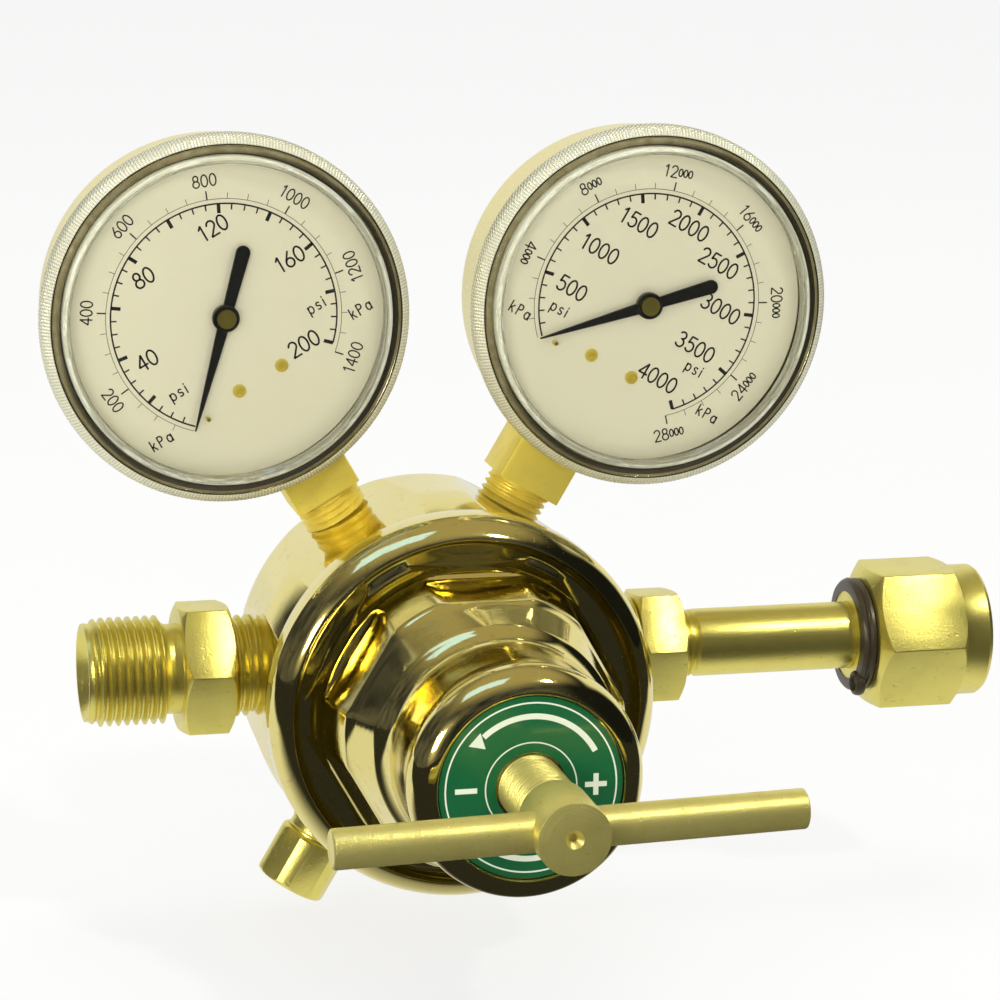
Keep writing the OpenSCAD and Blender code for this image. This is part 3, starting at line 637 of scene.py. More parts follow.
nose = arc((16.8, 88.4), 5.85, 0, 76, 14) + [(18.02, 94.0), (17.85, 93.8), (17.8, 93.4)]
outline = ([(31, 33), (38.5, 33), (38.95, 33.3), (39.1, 33.9), (39.1, 37)] + bead + groove
           + foot + side + shoulder + neck + nose + [(17.8, 92.9), (6.5, 92.9), (6.5, 80), (0, 80)])
FLAT_AT = [(39.0, 29.7), (43.5, 29.5), (44.8, 29.3), (45.6, 28.9), (46.2, 28.4), (46.8, 28.15),
           (57.6, 26.5), (58.2, 26.35)]
RIDGE_AT, RIDGE_OUT, SHOULDER_END = 58.2, 27.75, 67.0
GROOVE_FLOOR, GROOVE_WALL, GROOVE_TOP, PRESS_SOFTNESS = 39.5, 33.05, 45, 0.30


def between(table, value):
    """Straight-line reading of a short table."""
    for (a, first), (b, second) in zip(table, table[1:]):
        if value <= b:
            return first + (second - first) * max(0.0, (value - a) / (b - a))
    return table[-1][1]


def softer_of(a, b, width):
    blend = min(1.0, max(0.0, 0.5 + 0.5 * (b - a) / width))
    return b + (a - b) * blend - width * blend * (1 - blend)


# %% Bonnet
bonnet = bmesh.new()
lathe(bonnet, outline + [(0, 33)], steps=252)
weld(bonnet)
for vert in bonnet.verts:
    radius = hypot(vert.co.x, vert.co.y)
    height = vert.co.z
    on_boss = height > GROOVE_TOP or radius < GROOVE_WALL
    if GROOVE_FLOOR < height < SHOULDER_END + 5 and radius > 20 and on_boss:
        angle = atan2(vert.co.y, vert.co.x)
        off = (angle - radians(30)) % radians(60)
        off = min(off, radians(60) - off)
        pressed = softer_of(radius, between(FLAT_AT, height) / cos(off), PRESS_SOFTNESS)
        if height > RIDGE_AT:
            left = max(0.0, (SHOULDER_END - height) / (SHOULDER_END - RIDGE_AT))
            ridge = softer_of(RIDGE_OUT, FLAT_AT[-1][1] / cos(off), PRESS_SOFTNESS)
            pressed = radius - (RIDGE_OUT - ridge) * left
        draw_out(vert, pressed / radius)
make_piece("bonnet_shell", bonnet, FACING, [polished], stands_for=["bonnet"],
           sharp=40)

# %% [markdown]
# ## The round label
# A green disc of printed foil lies in the nose. Its print is generic: two rings, two curved
# arrows that run the same way round, and a plus and a minus.


# %% Label
def band(inner, outer, low, high, start=0.0, sweep=360.0, steps=48):
    bm = bmesh.new()
    lathe(bm, [(inner, low), (outer, low), (outer, high), (inner, high)], steps=steps,
          closed=True, sweep=sweep)
    return shifted(bm, turned(start, "Z"))


def block(width, depth, height, x, y, z):
    """A box that stands on the plane z."""
    bm = bmesh.new()
    size = Matrix.Diagonal((width, depth, height, 1))
    bmesh.ops.create_cube(bm, size=1, matrix=moved(x, y, z + height / 2) @ size)
    return bm


def arrow_head(angle, radius, size, low, high):
    bm = bmesh.new()
    bmesh.ops.create_cone(bm, cap_ends=True, segments=3, radius1=size, radius2=size,
                          depth=high - low)
    place = turned(angle, "Z") @ moved(radius, 0, (low + high) / 2) @ turned(90, "Z")
    return shifted(bm, place)


LABEL_BACK, LABEL_FRONT = 92.9, 93.4
disc = bmesh.new()
lathe(disc, [(6.8, LABEL_BACK), (17.4, LABEL_BACK), (17.63, LABEL_BACK + 0.2),
             (17.55, LABEL_FRONT), (6.8, LABEL_FRONT)], closed=True, steps=96)
PRINT_LOW, PRINT_HIGH, SIGN_AT = LABEL_FRONT - 0.2, LABEL_FRONT + 0.03, 12.4
marks = [band(16.2, 16.5, PRINT_LOW, PRINT_HIGH, steps=96),
         band(8.6, 8.85, PRINT_LOW, PRINT_HIGH, steps=96)]
for start in (28, 208):
    marks.append(band(13.2, 14.3, PRINT_LOW, PRINT_HIGH, start, 104, 32))
    marks.append(arrow_head(start + 110, 13.75, 1.9, PRINT_LOW, PRINT_HIGH))
for side_sign in (1, -1):
    marks.append(block(4.2, 1.0, 0.23, SIGN_AT * side_sign, 0, PRINT_LOW))
for up_or_down in (-1, 1):
    marks.append(block(1.0, 1.6, 0.23, SIGN_AT, 1.3 * up_or_down, PRINT_LOW))
label = join(disc, *[mark(bm, 1) for bm in marks])
make_piece("label_disc", label, FACING, [label_green, label_white], stands_for=["label_plate"])

# %% [markdown]
# ## Adjusting screw and cross bar
# The screw shows a few turns of fine thread in front of the label, then a plain turned
# head with a centre-drilled face. The bar is pressed through the head.

# %% Adjusting screw
SCREW_BACK, HEAD_BACK, HEAD_FRONT = 86.0, 110.5, 125.2
screw = threaded_rod(6.3, 5.62, 1.27, SCREW_BACK, HEAD_BACK + 0.3)
head = bmesh.new()
lathe(head, [(0, HEAD_BACK), (6.2, HEAD_BACK), (6.75, HEAD_BACK + 0.3), (6.9, HEAD_BACK + 0.6),
             (6.9, HEAD_FRONT - 0.35), (6.8, HEAD_FRONT - 0.1), (6.6, HEAD_FRONT),
             (1.75, HEAD_FRONT), (1.6, HEAD_FRONT - 0.1), (0.75, HEAD_FRONT - 1.2),
             (0.7, HEAD_FRONT - 2.0), (0, HEAD_FRONT - 2.3)], steps=96)
make_piece("screw_dressed", join(screw, head), FACING, [bar_brass], "adjusting_screw",
           ["adjusting_screw"])

# %% Cross bar
BAR_AT, BAR_TILT, BAR_RADIUS = 118.8, 1.5, 3.75
bar = bmesh.new()
ends = [(0, -43), (BAR_RADIUS - 0.55, -43), (BAR_RADIUS - 0.1, -42.75), (BAR_RADIUS, -42.4)]
lathe(bar, ends + [(BAR_RADIUS, -20), (BAR_RADIUS, 1), (BAR_RADIUS, 22)]
      + [(r, 2 - h) for r, h in reversed(ends)], steps=64)
bar_home = FACING @ moved(z=BAR_AT) @ turned(BAR_TILT, "Z") @ turned(90, "Y")
make_piece("cross_bar", bar, bar_home, [bar_brass], "adjusting_screw", ["handle_bar"])


# %% [markdown]
# ## Hexagon fittings
# Each is turned from hexagon bar, so a turned outline with sliced flats gives the real
# shape. Small bevels catch the light along the corners.

# %% Hexagon helper
PORT_THREAD = (10.4, 9.4, 1.814)
NUT_PITCH = 1.814


def corner_of(across):
    """The radius of a hexagon's corners, a little rubbed down."""
    return across / 2 / cos(radians(30)) - 0.05


def hexagon(across, low, high, turn, chamfer):
    corner = corner_of(across)
    rise = chamfer * 0.58
    bm = bmesh.new()
    lathe(bm, [(0, low), (corner - chamfer, low), (corner, low + rise), (corner, high - rise),
               (corner - chamfer, high), (0, high)], steps=120)
    mill_flats(bm, across, turn)
    soften(bm, 0.16, angle=14, where=lambda e: all(
        hypot(v.co.x, v.co.y) > across / 2 - 1.5 for v in e.verts))
    return bm


# %% Inlet bushing and nipple
bushing = join(hexagon(across=22.225, low=45.2, high=54.6, turn=23, chamfer=1.5),
               threaded_rod(*PORT_THREAD, 35.5, 45.4))
make_piece("inlet_bushing_dressed", bushing, out_of(INLET), [milled_brass],
           stands_for=["inlet_bushing"])
nipple = bmesh.new()
lathe(nipple, [(0, 57.8), (6.3, 57.8), (7.0, 58.6), (7.1, 58.9), (7.1, 75), (7.1, 97), (10.2, 97),
               (10.2, 101), (9.4, 101.8), (8.2, 102.2), (7.2, 104.4), (6.4, 105.4), (5.4, 106),
               (3.2, 106.4), (3.2, 98), (0, 98)], steps=96)
nipple = join(nipple, threaded_rod(7.0, 6.4, 1.35, 54.0, 58.2))
make_piece("inlet_nipple_dressed", nipple, out_of(INLET), [lathe_brass],
           stands_for=["inlet_nipple"])

# %% Inlet nut
NUT_BACK, NUT_FRONT, NUT_FLATS = 92.9, 121.0, 28.575
nut = bmesh.new()
corner = corner_of(NUT_FLATS)
lathe(nut, [(7.16, NUT_BACK), (9.7, NUT_BACK), (9.9, NUT_BACK + 0.2), (9.9, NUT_BACK + 0.55),
            (9.7, NUT_BACK + 0.7), (9.1, NUT_BACK + 0.7), (9.1, 96), (corner - 3.4, 96),
            (corner, 98), (corner, 113.6), (corner - 1.9, 115), (13.89, 115),
            (13.89, NUT_FRONT - 0.8), (13.3, NUT_FRONT), (12.35, NUT_FRONT), (12.3, 107),
            (11.92, 107), (11.92, 97), (7.16, 97)],
      steps=120, closed=True)
mill_flats(nut, NUT_FLATS, 29)
soften(nut, 0.2, angle=14, where=lambda e: all(
    hypot(v.co.x, v.co.y) > 12.9 and 95 < v.co.z < 115.5 for v in e.verts))
inner = bmesh.new()
thread_from, thread_to = 107.2, NUT_FRONT - 0.4
below, above = thread(inner, 11.5, 12.4, NUT_PITCH, thread_from, thread_to)
first = carry_rim(inner, below, [(12.8, thread_from)], close=False)
last = carry_rim(inner, above, [(12.8, thread_to)], close=False)
bmesh.ops.bridge_loops(inner, edges=first + last)
make_piece("inlet_nut_dressed", join(nut, inner), out_of(INLET), [milled_brass], "inlet_nut",
           ["inlet_nut"])

# %% Keeper ring
# A sheet collar pressed round the nut's hub, a little wavy, with an eyelet on its back edge
# at the lower front.
KEEPER_BORE, KEEPER_BACK, KEEPER_FRONT = 9.25, 92.75, 95.95
EYE_TURN, EYE_AT, EYE_HOLE, EYE_WIDTH, WAVE_DEPTH = 50, 11.3, 1.45, 1.25, 0.010
ring = bmesh.new()
lathe(ring, [(KEEPER_BORE, KEEPER_BACK), (10.9, KEEPER_BACK), (11.5, KEEPER_BACK + 0.12),
             (11.85, KEEPER_BACK + 0.45), (12.05, KEEPER_BACK + 1.0), (11.6, KEEPER_BACK + 1.5),
             (11.55, KEEPER_BACK + 1.8), (11.9, KEEPER_BACK + 2.2), (11.9, KEEPER_FRONT - 0.4),
             (11.5, KEEPER_FRONT), (KEEPER_BORE, KEEPER_FRONT)], closed=True, steps=120)
for vert in ring.verts:
    if hypot(vert.co.x, vert.co.y) > 10.5:
        turn_at = atan2(vert.co.y, vert.co.x)
        wave = sin(3 * turn_at + 0.7) + 0.6 * sin(7 * turn_at + vert.co.z)
        draw_out(vert, 1 + WAVE_DEPTH * wave)
eyelet = bmesh.new()
lathe(eyelet, arc((EYE_HOLE + EYE_WIDTH / 2, 0), EYE_WIDTH / 2, 0, 330, 11), closed=True, steps=32)
shifted(eyelet, turned(EYE_TURN, "Z") @ moved(0, -EYE_AT, KEEPER_BACK + 0.45)
        @ Matrix.Diagonal((1, 1, 1.8, 1)))
make_piece("keeper_ring", join(ring, eyelet), out_of(INLET), [keeper_dark], "nut_keeper",
           ["nut_keeper"])

# %% [markdown]
# ## Outlet fitting
# A coarse thread screws it into the body, a chamfered hexagon takes the wrench, and a long
# thread of 14 turns to the inch takes the hose nut. The last turns run out into the
# chamfer, and the bore opens in a cone that seats the nipple.

# %% Outlet
TIP, CREST, ROOT = 70.3, 11.11, 9.95
male = bmesh.new()
below, above = thread(male, CREST, ROOT, NUT_PITCH, 54.4, TIP,
                      lambda z: min(CREST, 10.1 + max(0, TIP - 0.5 - z) * 0.45), 56)
carry_rim(male, below, [(9.3, 54.3)])
carry_rim(male, above, [(9.35, TIP), (9.1, TIP - 0.2), (4.6, TIP - 5), (4.6, 50)])
waist = bmesh.new()
lathe(waist, [(0, 50.6), (9.35, 50.6), (9.2, 51.2), (9.2, 53.4), (9.6, 54.2), (ROOT, 54.7),
              (8.5, 54.75), (0, 54.75)], steps=96)
stub = threaded_rod(*PORT_THREAD, 35.4, 40.6)
outlet = join(male, waist, stub, hexagon(across=25.4, low=40.5, high=51, turn=36, chamfer=2.1))
make_piece("outlet_dressed", outlet, out_of(OUTLET), [milled_brass],
           stands_for=["outlet_fitting"])

# %% [markdown]
# ## Relief valve
# A small hexagon with a round neck. Its outer end is closed by a slotted plug with a vent.

# %% Relief valve
RELIEF_ROUND, RELIEF_FLATS, RELIEF_LOW, RELIEF_HIGH = 7.545, 14.29, 43.7, 55.03
housing = bmesh.new()
lathe(housing, [(5.2, RELIEF_LOW), (6.9, RELIEF_LOW), (7.35, RELIEF_LOW + 0.25),
                (RELIEF_ROUND, RELIEF_LOW + 0.7), (RELIEF_ROUND, RELIEF_HIGH - 0.7),
                (7.35, RELIEF_HIGH - 0.25), (6.9, RELIEF_HIGH), (5.2, RELIEF_HIGH)],
      steps=180, closed=True)
mill_flats(housing, RELIEF_FLATS, -2)
soften(housing, 0.1, angle=14, where=lambda e: all(
    hypot(v.co.x, v.co.y) > 6.8 for v in e.verts))
neck_bm = bmesh.new()
lathe(neck_bm, [(0, 35.5), (6.2, 35.5), (6.6, 36.1), (6.6, 41.4), (6.35, 41.6), (6.35, 43.0),
                (6.6, 43.3), (6.6, 43.9), (0, 43.9)], steps=64)
make_piece("relief_housing_dressed", join(housing, neck_bm), out_of(RELIEF), [milled_brass],
           stands_for=["relief_housing"])


# %% [markdown]
# ## Pressure gauges
# Both gauges are the same but for their print: a drawn case on a square stem, a knurled
# nickel bezel, a domed lens, a white dial held by two small screws, and a black pointer.

# %% Case, stem and bezel
def case_mesh():
    bm = bmesh.new()
    inside, outside, under = 32.9, 34.5, 33.85
    lathe(bm, [(0, -8)] + arc((outside - 4, -4), 4, -90, 0, 10) + [
        (outside, 7.3), (under, 7.35), (under, 13.6), (inside, 13.6), (inside, -3),
        (inside - 3, -6.4), (0, -6.8)], steps=144)
    return bm


def stem_mesh():
    """The square block and its thread, the local Z axis running down to the body."""
    post = bmesh.new()
    wide, near, far = 14.3, 33.5, 45.2
    size = Matrix.Diagonal((wide, wide, far - near, 1))
    bmesh.ops.create_cube(post, size=1, matrix=moved(0, 0, (far + near) / 2) @ size)
    corners = [e for e in post.edges if abs(e.verts[0].co.z - e.verts[1].co.z) > 1]
    bmesh.ops.bevel(post, geom=corners, offset=0.9, offset_type="OFFSET", segments=2,
                    profile=0.5, affect="EDGES", material=-1)
    rod = threaded_rod(6.85, 6.1, 1.411, 45.0, 51.5)
    collar = bmesh.new()
    lathe(collar, [(0, 45.0), (6.3, 45.0), (6.6, 46.2), (0, 46.4)], steps=64)
    return join(post, rod, collar)


STEM_TURN = turned(90, "X")
KNURLS, KNURL_DEPTH = 250, 0.40
KNURL_ROWS = [(36.7, 12.75), (36.9, 13.12), (36.9, 13.54), (36.9, 13.96), (36.9, 14.38),
              (36.9, 14.8), (36.87, 15.22), (36.74, 15.62), (36.52, 15.98), (36.24, 16.32),
              (35.92, 16.64)]


def bezel_mesh():
    """The knurl is a checkerboard of points, every other one pressed in."""
    under, lip, wall = 33.9, 34.6, 33.15
    front = [(35.62, 16.96), (35.35, 17.2), (35.05, 17.38), (34.85, 17.45), (34.68, 17.42),
             (lip, 17.3)]
    groove = [(lip - 0.05, 16.95), (lip - 0.25, 16.75), (wall, 16.7), (wall, 16.05)]
    skirt = [(under, 7.4), (34.7, 7.3), (34.85, 7.4), (34.9, 7.6), (34.9, 11.7), (35.1, 11.95)]
    bm = bmesh.new()
    lathe(bm, skirt + [(36.3, 12.5)] + KNURL_ROWS + front + groove + [(under, 16.05)],
          steps=2 * KNURLS, closed=True)
    weld(bm)
    row_of = {round(height, 2): row for row, (radius, height) in enumerate(KNURL_ROWS)}
    for vert in bm.verts:
        row = row_of.get(round(vert.co.z, 2))
        radius = hypot(vert.co.x, vert.co.y)
        if row is None or radius < 35.7:
            continue
        column = round(atan2(vert.co.y, vert.co.x) / pi * KNURLS)
        if (column + row) % 2:
            fade = min(1.0, (len(KNURL_ROWS) - row) / 3)
            draw_out(vert, 1 - KNURL_DEPTH * fade / radius)
    for face in bm.faces:
        middle = face.calc_center_median()
        if middle.z > 16.6 and hypot(middle.x, middle.y) < 35.1:
            face.material_index = 1
    return bm


LENS_RADIUS, LENS_BACK, LENS_TOP, LENS_EDGE = 32.85, 16.0, 20.4, 0.8


def dome_arc(edge, low, top, count=14):
    """Points of a shallow ball cap, from its edge to its middle."""
    rise = top - low
    ball = (edge * edge + rise * rise) / (2 * rise)
    reach = asin(edge / ball)
    return [(ball * sin(reach * (1 - i / count)), top - ball + ball * cos(reach * (1 - i / count)))
            for i in range(count + 1)]


def lens_mesh():
    edge = LENS_RADIUS - LENS_EDGE
    outside = dome_arc(edge, 18.95, LENS_TOP)
    inside = dome_arc(edge - 0.9, 17.5, LENS_TOP - 1.5)
    bm = bmesh.new()
    lathe(bm, inside[::-1] + outside, steps=128)
    return bm


def lens_bead():
    """The lens's standing wall, turned over its rounded corner."""
    corner = arc((LENS_RADIUS - LENS_EDGE, 18.95 - LENS_EDGE), LENS_EDGE, 0, 90, 8)
    bm = bmesh.new()
    lathe(bm, [(LENS_RADIUS - 1.5, LENS_BACK), (LENS_RADIUS, LENS_BACK)] + corner
          + [(LENS_RADIUS - 1.3, 18.9), (LENS_RADIUS - 1.5, 18.3)], closed=True, steps=144)
    return bm


# %% [markdown]
# ## Dial print
# The numerals on such dials are drawn with a round-ended pen. A small stroke alphabet
# gives that look: each sign is a few lines and arcs in a cell one unit high, swept with a
# round pen and flattened to a film of ink.

# %% Stroke alphabet
SIGNS = {
    "0": [bow(0.3, 0.5, 0.27, 0.5, 0, 360, 20)],
    "1": [[(0.12, 0.80), (0.30, 1.0), (0.30, 0.0)]],
    "2": [bow(0.30, 0.73, 0.25, 0.27, 165, -32) + [(0.05, 0.0), (0.58, 0.0)]],
    "3": [bow(0.28, 0.77, 0.22, 0.23, 150, -90), bow(0.28, 0.27, 0.27, 0.27, 90, -150)],
    "4": [[(0.44, 0.0), (0.44, 1.0), (0.02, 0.30), (0.60, 0.30)]],
    "5": [[(0.54, 1.0), (0.16, 1.0), (0.10, 0.55)] + bow(0.29, 0.32, 0.27, 0.32, 125, -145)],
    "6": [[(0.44, 1.0), (0.10, 0.48)], bow(0.31, 0.29, 0.26, 0.29, 0, 360, 18)],
    "8": [bow(0.3, 0.76, 0.21, 0.24, 0, 360, 16), bow(0.3, 0.27, 0.27, 0.27, 0, 360, 18)],
    "p": [[(0.06, 0.66), (0.06, -0.30)], bow(0.29, 0.33, 0.23, 0.33, 0, 360, 16)],
    "s": [bow(0.24, 0.50, 0.17, 0.16, 40, 265, 8) + bow(0.22, 0.17, 0.18, 0.17, 85, -140, 8)],
    "i": [[(0.12, 0.66), (0.12, 0.0)], [(0.12, 0.88), (0.12, 0.93)]],
    "k": [[(0.08, 1.0), (0.08, 0.0)], [(0.42, 0.66), (0.08, 0.28)], [(0.2, 0.42), (0.46, 0.0)]],
    "P": [[(0.08, 0.0), (0.08, 1.0), (0.28, 1.0)] + bow(0.28, 0.76, 0.22, 0.24, 90, -90, 8)
          + [(0.08, 0.52)]],
    "a": [bow(0.27, 0.33, 0.22, 0.33, 0, 360, 16), [(0.50, 0.66), (0.50, 0.0)]],
}
WIDTHS = {"1": 0.50, "i": 0.28, "s": 0.50, "p": 0.62, "k": 0.56, "P": 0.64, "a": 0.66}


def pen_line(bm, points, width, thickness):
    """A flat stroke with round ends: a disc at each point and a bar between each pair."""
    for (x0, y0), (x1, y1) in zip(points, points[1:]):
        length = hypot(x1 - x0, y1 - y0)
        place = moved((x0 + x1) / 2, (y0 + y1) / 2, thickness / 2)
        place = place @ Matrix.Rotation(atan2(y1 - y0, x1 - x0), 4, "Z")
        size = Matrix.Diagonal((length + width * 0.35, width, thickness, 1))
        bmesh.ops.create_cube(bm, size=1, matrix=place @ size)
    for x, y in (points[0], points[-1]):
        bmesh.ops.create_cone(bm, cap_ends=True, segments=10, radius1=width / 2,
                              radius2=width / 2, depth=thickness,
                              matrix=moved(x, y, thickness / 2))


def write(bm, words, x, y, height, pen, turn=0.0, gap=0.12, small_from=None, small=0.62):
    """Signs in a row, their middle at x, y, as ink above the dial."""
    scales = [height if small_from is None or i < small_from else height * small
              for i in range(len(words))]
    advances = [(WIDTHS.get(sign, 0.60) + gap) * size for sign, size in zip(words, scales)]
    frame_at = moved(x, y, DIAL_TOP) @ turned(turn, "Z")
    along = -sum(advances) / 2
    for sign, size, advance in zip(words, scales, advances):
        letter = bmesh.new()
        for stroke in SIGNS[sign]:
            points = [(along + gap * size / 2 + px * size, (py - 0.5) * size) for px, py in stroke]
            pen_line(letter, points, pen, INK)
        shifted(letter, frame_at)
        mesh = bpy.data.meshes.new("letter")
        letter.to_mesh(mesh)
        letter.free()
        bm.from_mesh(mesh)
        bpy.data.meshes.remove(mesh)
        along += advance


DIAL_TOP, INK = 12.9, 0.03
print("signs:", len(SIGNS))

# %% Scales
ZERO, SPAN = 225.0, 270.0
ARC_RADIUS, THIN_RADIUS, OUTER_WORDS = 22.64, 23.6, 27.45
BIG, SMALL, UNIT = (3.15, 0.38), (2.35, 0.28), (2.2, 0.29)


def tick(bm, angle, inner, outer, width):
    middle = (inner + outer) / 2
    place = turned(angle, "Z") @ moved(middle, 0, DIAL_TOP + INK / 2)
    bmesh.ops.create_cube(bm, size=1,
                          matrix=place @ Matrix.Diagonal((outer - inner, width, INK, 1)))


def print_dial(scale):
    """Black and grey ink of one dial, as two meshes."""
    black, grey = bmesh.new(), bmesh.new()
    for step in range(scale["steps"] + 1):
        angle = ZERO - SPAN * step / scale["steps"]
        major = step % scale["every"] == 0
        if step:
            tick(black, angle, ARC_RADIUS - (1.9 if major else 1.2), ARC_RADIUS,
                 0.72 if major else 0.30)
    outer_full = scale["outer_full"]
    for step in range(1, scale["outer_steps"] + 1):
        value = step * scale["outer_top"] / scale["outer_steps"]
        angle = ZERO - SPAN * value / outer_full
        major = step % scale["outer_every"] == 0
        tick(black if major else grey, angle, THIN_RADIUS, THIN_RADIUS + (1.8 if major else 1.2),
             0.28 if major else 0.13)
    for words, (x, y) in scale["inner"].items():
        write(black, words, x, y, *BIG)
    for words, value in scale["outer"].items():
        angle = ZERO - SPAN * value / outer_full
        turn = angle + 90 if sin(radians(angle)) < 0 else angle - 90
        small_from = len(words) - 3 if scale["small_zeros"] else None
        write(black, words, OUTER_WORDS * cos(radians(angle)), OUTER_WORDS * sin(radians(angle)),
              *SMALL, turn, small_from=small_from)
    for words in ("psi", "kPa"):
        for x, y in scale[words]:
            write(black, words, x, y, *UNIT, gap=0.2)
    reach = SPAN * scale["outer_top"] / outer_full
    arcs = [band(ARC_RADIUS - 0.16, ARC_RADIUS + 0.16, DIAL_TOP - 0.05, DIAL_TOP + INK,
                 ZERO - SPAN, SPAN, 120)]
    thin = [band(THIN_RADIUS - 0.06, THIN_RADIUS + 0.06, DIAL_TOP - 0.05, DIAL_TOP + INK,
                 ZERO - reach, reach, 120)]
    return join(black, *arcs), join(grey, *thin)


LOW_SCALE = {
    "steps": 40, "every": 4, "outer_full": 1379.0, "outer_top": 1400,
    "outer_steps": 28, "outer_every": 4, "small_zeros": False,
    "inner": {"40": (-17.5, 0.6), "80": (-9.8, 15.2), "120": (6.9, 16.6), "160": (16.9, 3.2),
              "200": (10.9, -13.1)},
    "outer": {str(value): value for value in range(200, 1401, 200)},
    "psi": [(-15.4, -8.2), (16.9, -7.6)], "kPa": [(-23.2, -15.0), (24.2, -13.0)],
}
HIGH_SCALE = {
    "steps": 40, "every": 5, "outer_full": 27579.0, "outer_top": 28000,
    "outer_steps": 28, "outer_every": 4, "small_zeros": True,
    "inner": {"500": (-15.6, -4.6), "1000": (-14.6, 5.0), "1500": (-10.2, 13.5),
              "2000": (-0.6, 18.0), "2500": (8.9, 14.4), "3000": (14.2, 6.6),
              "3500": (13.6, -2.7), "4000": (9.9, -11.9)},
    "outer": {str(value): value for value in range(4000, 28001, 4000)},
    "psi": [(-15.6, -9.4), (15.8, -6.6)], "kPa": [(-22.6, -13.6), (23.2, -13.4)],
}


# %% Dial furniture
SCREW_ASIDE, SCREW_DOWN = 4.9, 14.5
STOP_ANGLE, STOP_RADIUS = -129.5, 20.6


def dial_plate():
    bm = bmesh.new()
    lathe(bm, [(0, 12.1), (32.2, 12.1), (32.2, 12.7), (32.0, 12.9), (0, 12.9)], steps=128)
    return bm


def dial_screws():
    heads = []
    for side_sign in (-1, 1):
        bm = bmesh.new()
        lathe(bm, [(0, 12.4), (1.35, 12.4), (1.35, 13.1), (1.15, 13.45), (0.8, 13.6), (0.62, 13.6),
                   (0.5, 13.2), (0, 13.1)], steps=32)
        heads.append(shifted(bm, moved(side_sign * SCREW_ASIDE, -SCREW_DOWN, 0)))
    return join(*heads)


def pointer_mesh():
    """Blade and tail from one flat outline, bevelled; the blade points along +X."""
    flat = bmesh.new()
    side_points = [(23.4, 0.12), (18.0, 0.42), (2.0, 1.15), (-2.0, 1.1), (-13.2, 1.42)]
    tail = [(-13.4 - 1.45 * sin(radians(a)), 1.45 * cos(radians(a))) for a in range(10, 180, 20)]
    ring_points = side_points + tail + [(x, -y) for x, y in reversed(side_points)]
    flat.faces.new([flat.verts.new((x, y, 14.1)) for x, y in ring_points])
    grown = bmesh.ops.extrude_face_region(flat, geom=flat.faces[:])["geom"]
    bmesh.ops.translate(flat, vec=(0, 0, 0.6),
                        verts=[g for g in grown if isinstance(g, bmesh.types.BMVert)])
    bmesh.ops.bevel(flat, geom=[e for e in flat.edges if all(v.co.z > 14.6 for v in e.verts)],
                    offset=0.12, offset_type="OFFSET", segments=1, profile=0.5,
                    affect="EDGES", material=-1)
    hub = bmesh.new()
    lathe(hub, [(0, 13.9), (2.7, 13.9), (2.7, 15.1), (2.5, 15.3), (0, 15.3)], steps=48)
    return join(flat, hub)


def pin_mesh():
    bm = bmesh.new()
    lathe(bm, [(0, 15.2), (1.9, 15.2), (1.9, 15.65), (1.6, 15.9), (0.7, 15.8), (0.5, 15.55),
               (0, 15.5)], steps=40)
    return bm


def stop_pin():
    bm = bmesh.new()
    lathe(bm, [(0, 12.5), (0.45, 12.5), (0.45, 14.6), (0.3, 14.8), (0, 14.8)], steps=16)
    return shifted(bm, turned(STOP_ANGLE, "Z") @ moved(STOP_RADIUS, 0, 0))


# %% Both gauges
for side_name, degrees, scale in (("low", LOW, LOW_SCALE), ("high", HIGH, HIGH_SCALE)):
    home = gauge_home(degrees)
    needle = side_name + "_needle"

    def dress(part, bm, finishes, body="regulator", node=None, sharp=28):
        make_piece(side_name + "_" + part, bm, home, finishes, body,
                   [side_name + "_" + node] if node else (), sharp)

    dress("case_shell", case_mesh(), [case_gold], node="case")
    stem = shifted(stem_mesh(), STEM_TURN)
    dress("stem", stem, [stem_brass], node="socket")
    dress("bezel_ring", bezel_mesh(), [satin_nickel, mirror_nickel], node="bezel",
          sharp=50)
    dress("lens_dome", lens_mesh(), [lens_clear], node="lens")
    dress("lens_edge", lens_bead(), [lens_rim])
    dress("dial_plate", dial_plate(), [dial_white], node="dial")
    black_print, grey_print = print_dial(scale)
    dress("dial_print", black_print, [ink])
    dress("dial_fine_print", grey_print, [grey_ink])
    dress("dial_screw_heads", dial_screws(), [stem_brass], node="dial_screws")
    dress("stop", stop_pin(), [lathe_brass], node="stop_pin")
    at_zero = turned(ZERO, "Z")
    dress("pointer_blade", shifted(pointer_mesh(), at_zero), [pointer_black], needle, "pointer")
    dress("pointer_pin", pin_mesh(), [pin_brass], needle, None)

# %% [markdown]
# ## Pieces left as plain solids
# What is inside keeps its measured shape. It still gets a real finish, chosen by the slot
# that the record gives it.

# %% Finishes for the plain solids
plain = {
    "polished_brass": mirror_brass("plain_mirror_brass", own=False),
    "turned_brass": turned_brass("plain_turned_brass", own=False),
    "gold_lacquer": lacquered_case("plain_gold", own=False),
    "copper": turned_brass("plain_copper", own=False, roughness=0.3, colour=rgb(0.72, 0.42, 0.2)),
    "spring_steel": plain_coat("plain_spring", rgb(0.30, 0.30, 0.31), rgb(0.4, 0.4, 0.42), 0.3,
                               1.0, own=False),
    "bright_steel": plain_coat("plain_steel", rgb(0.62, 0.62, 0.64), rgb(0.5, 0.5, 0.52), 0.25,
                               1.0, own=False),
    "rubber": plain_coat("plain_rubber", rgb(0.01, 0.01, 0.01), rgb(0.03, 0.03, 0.03), 0.6,
                         own=False),
    "seat_plastic": plain_coat("plain_seat", rgb(0.8, 0.79, 0.74), rgb(0.7, 0.69, 0.62), 0.5,
                               own=False),
}
slot_of = {part["node"]: part["material_slot"] for part in frame["record"]["subparts"]}
kept = 0
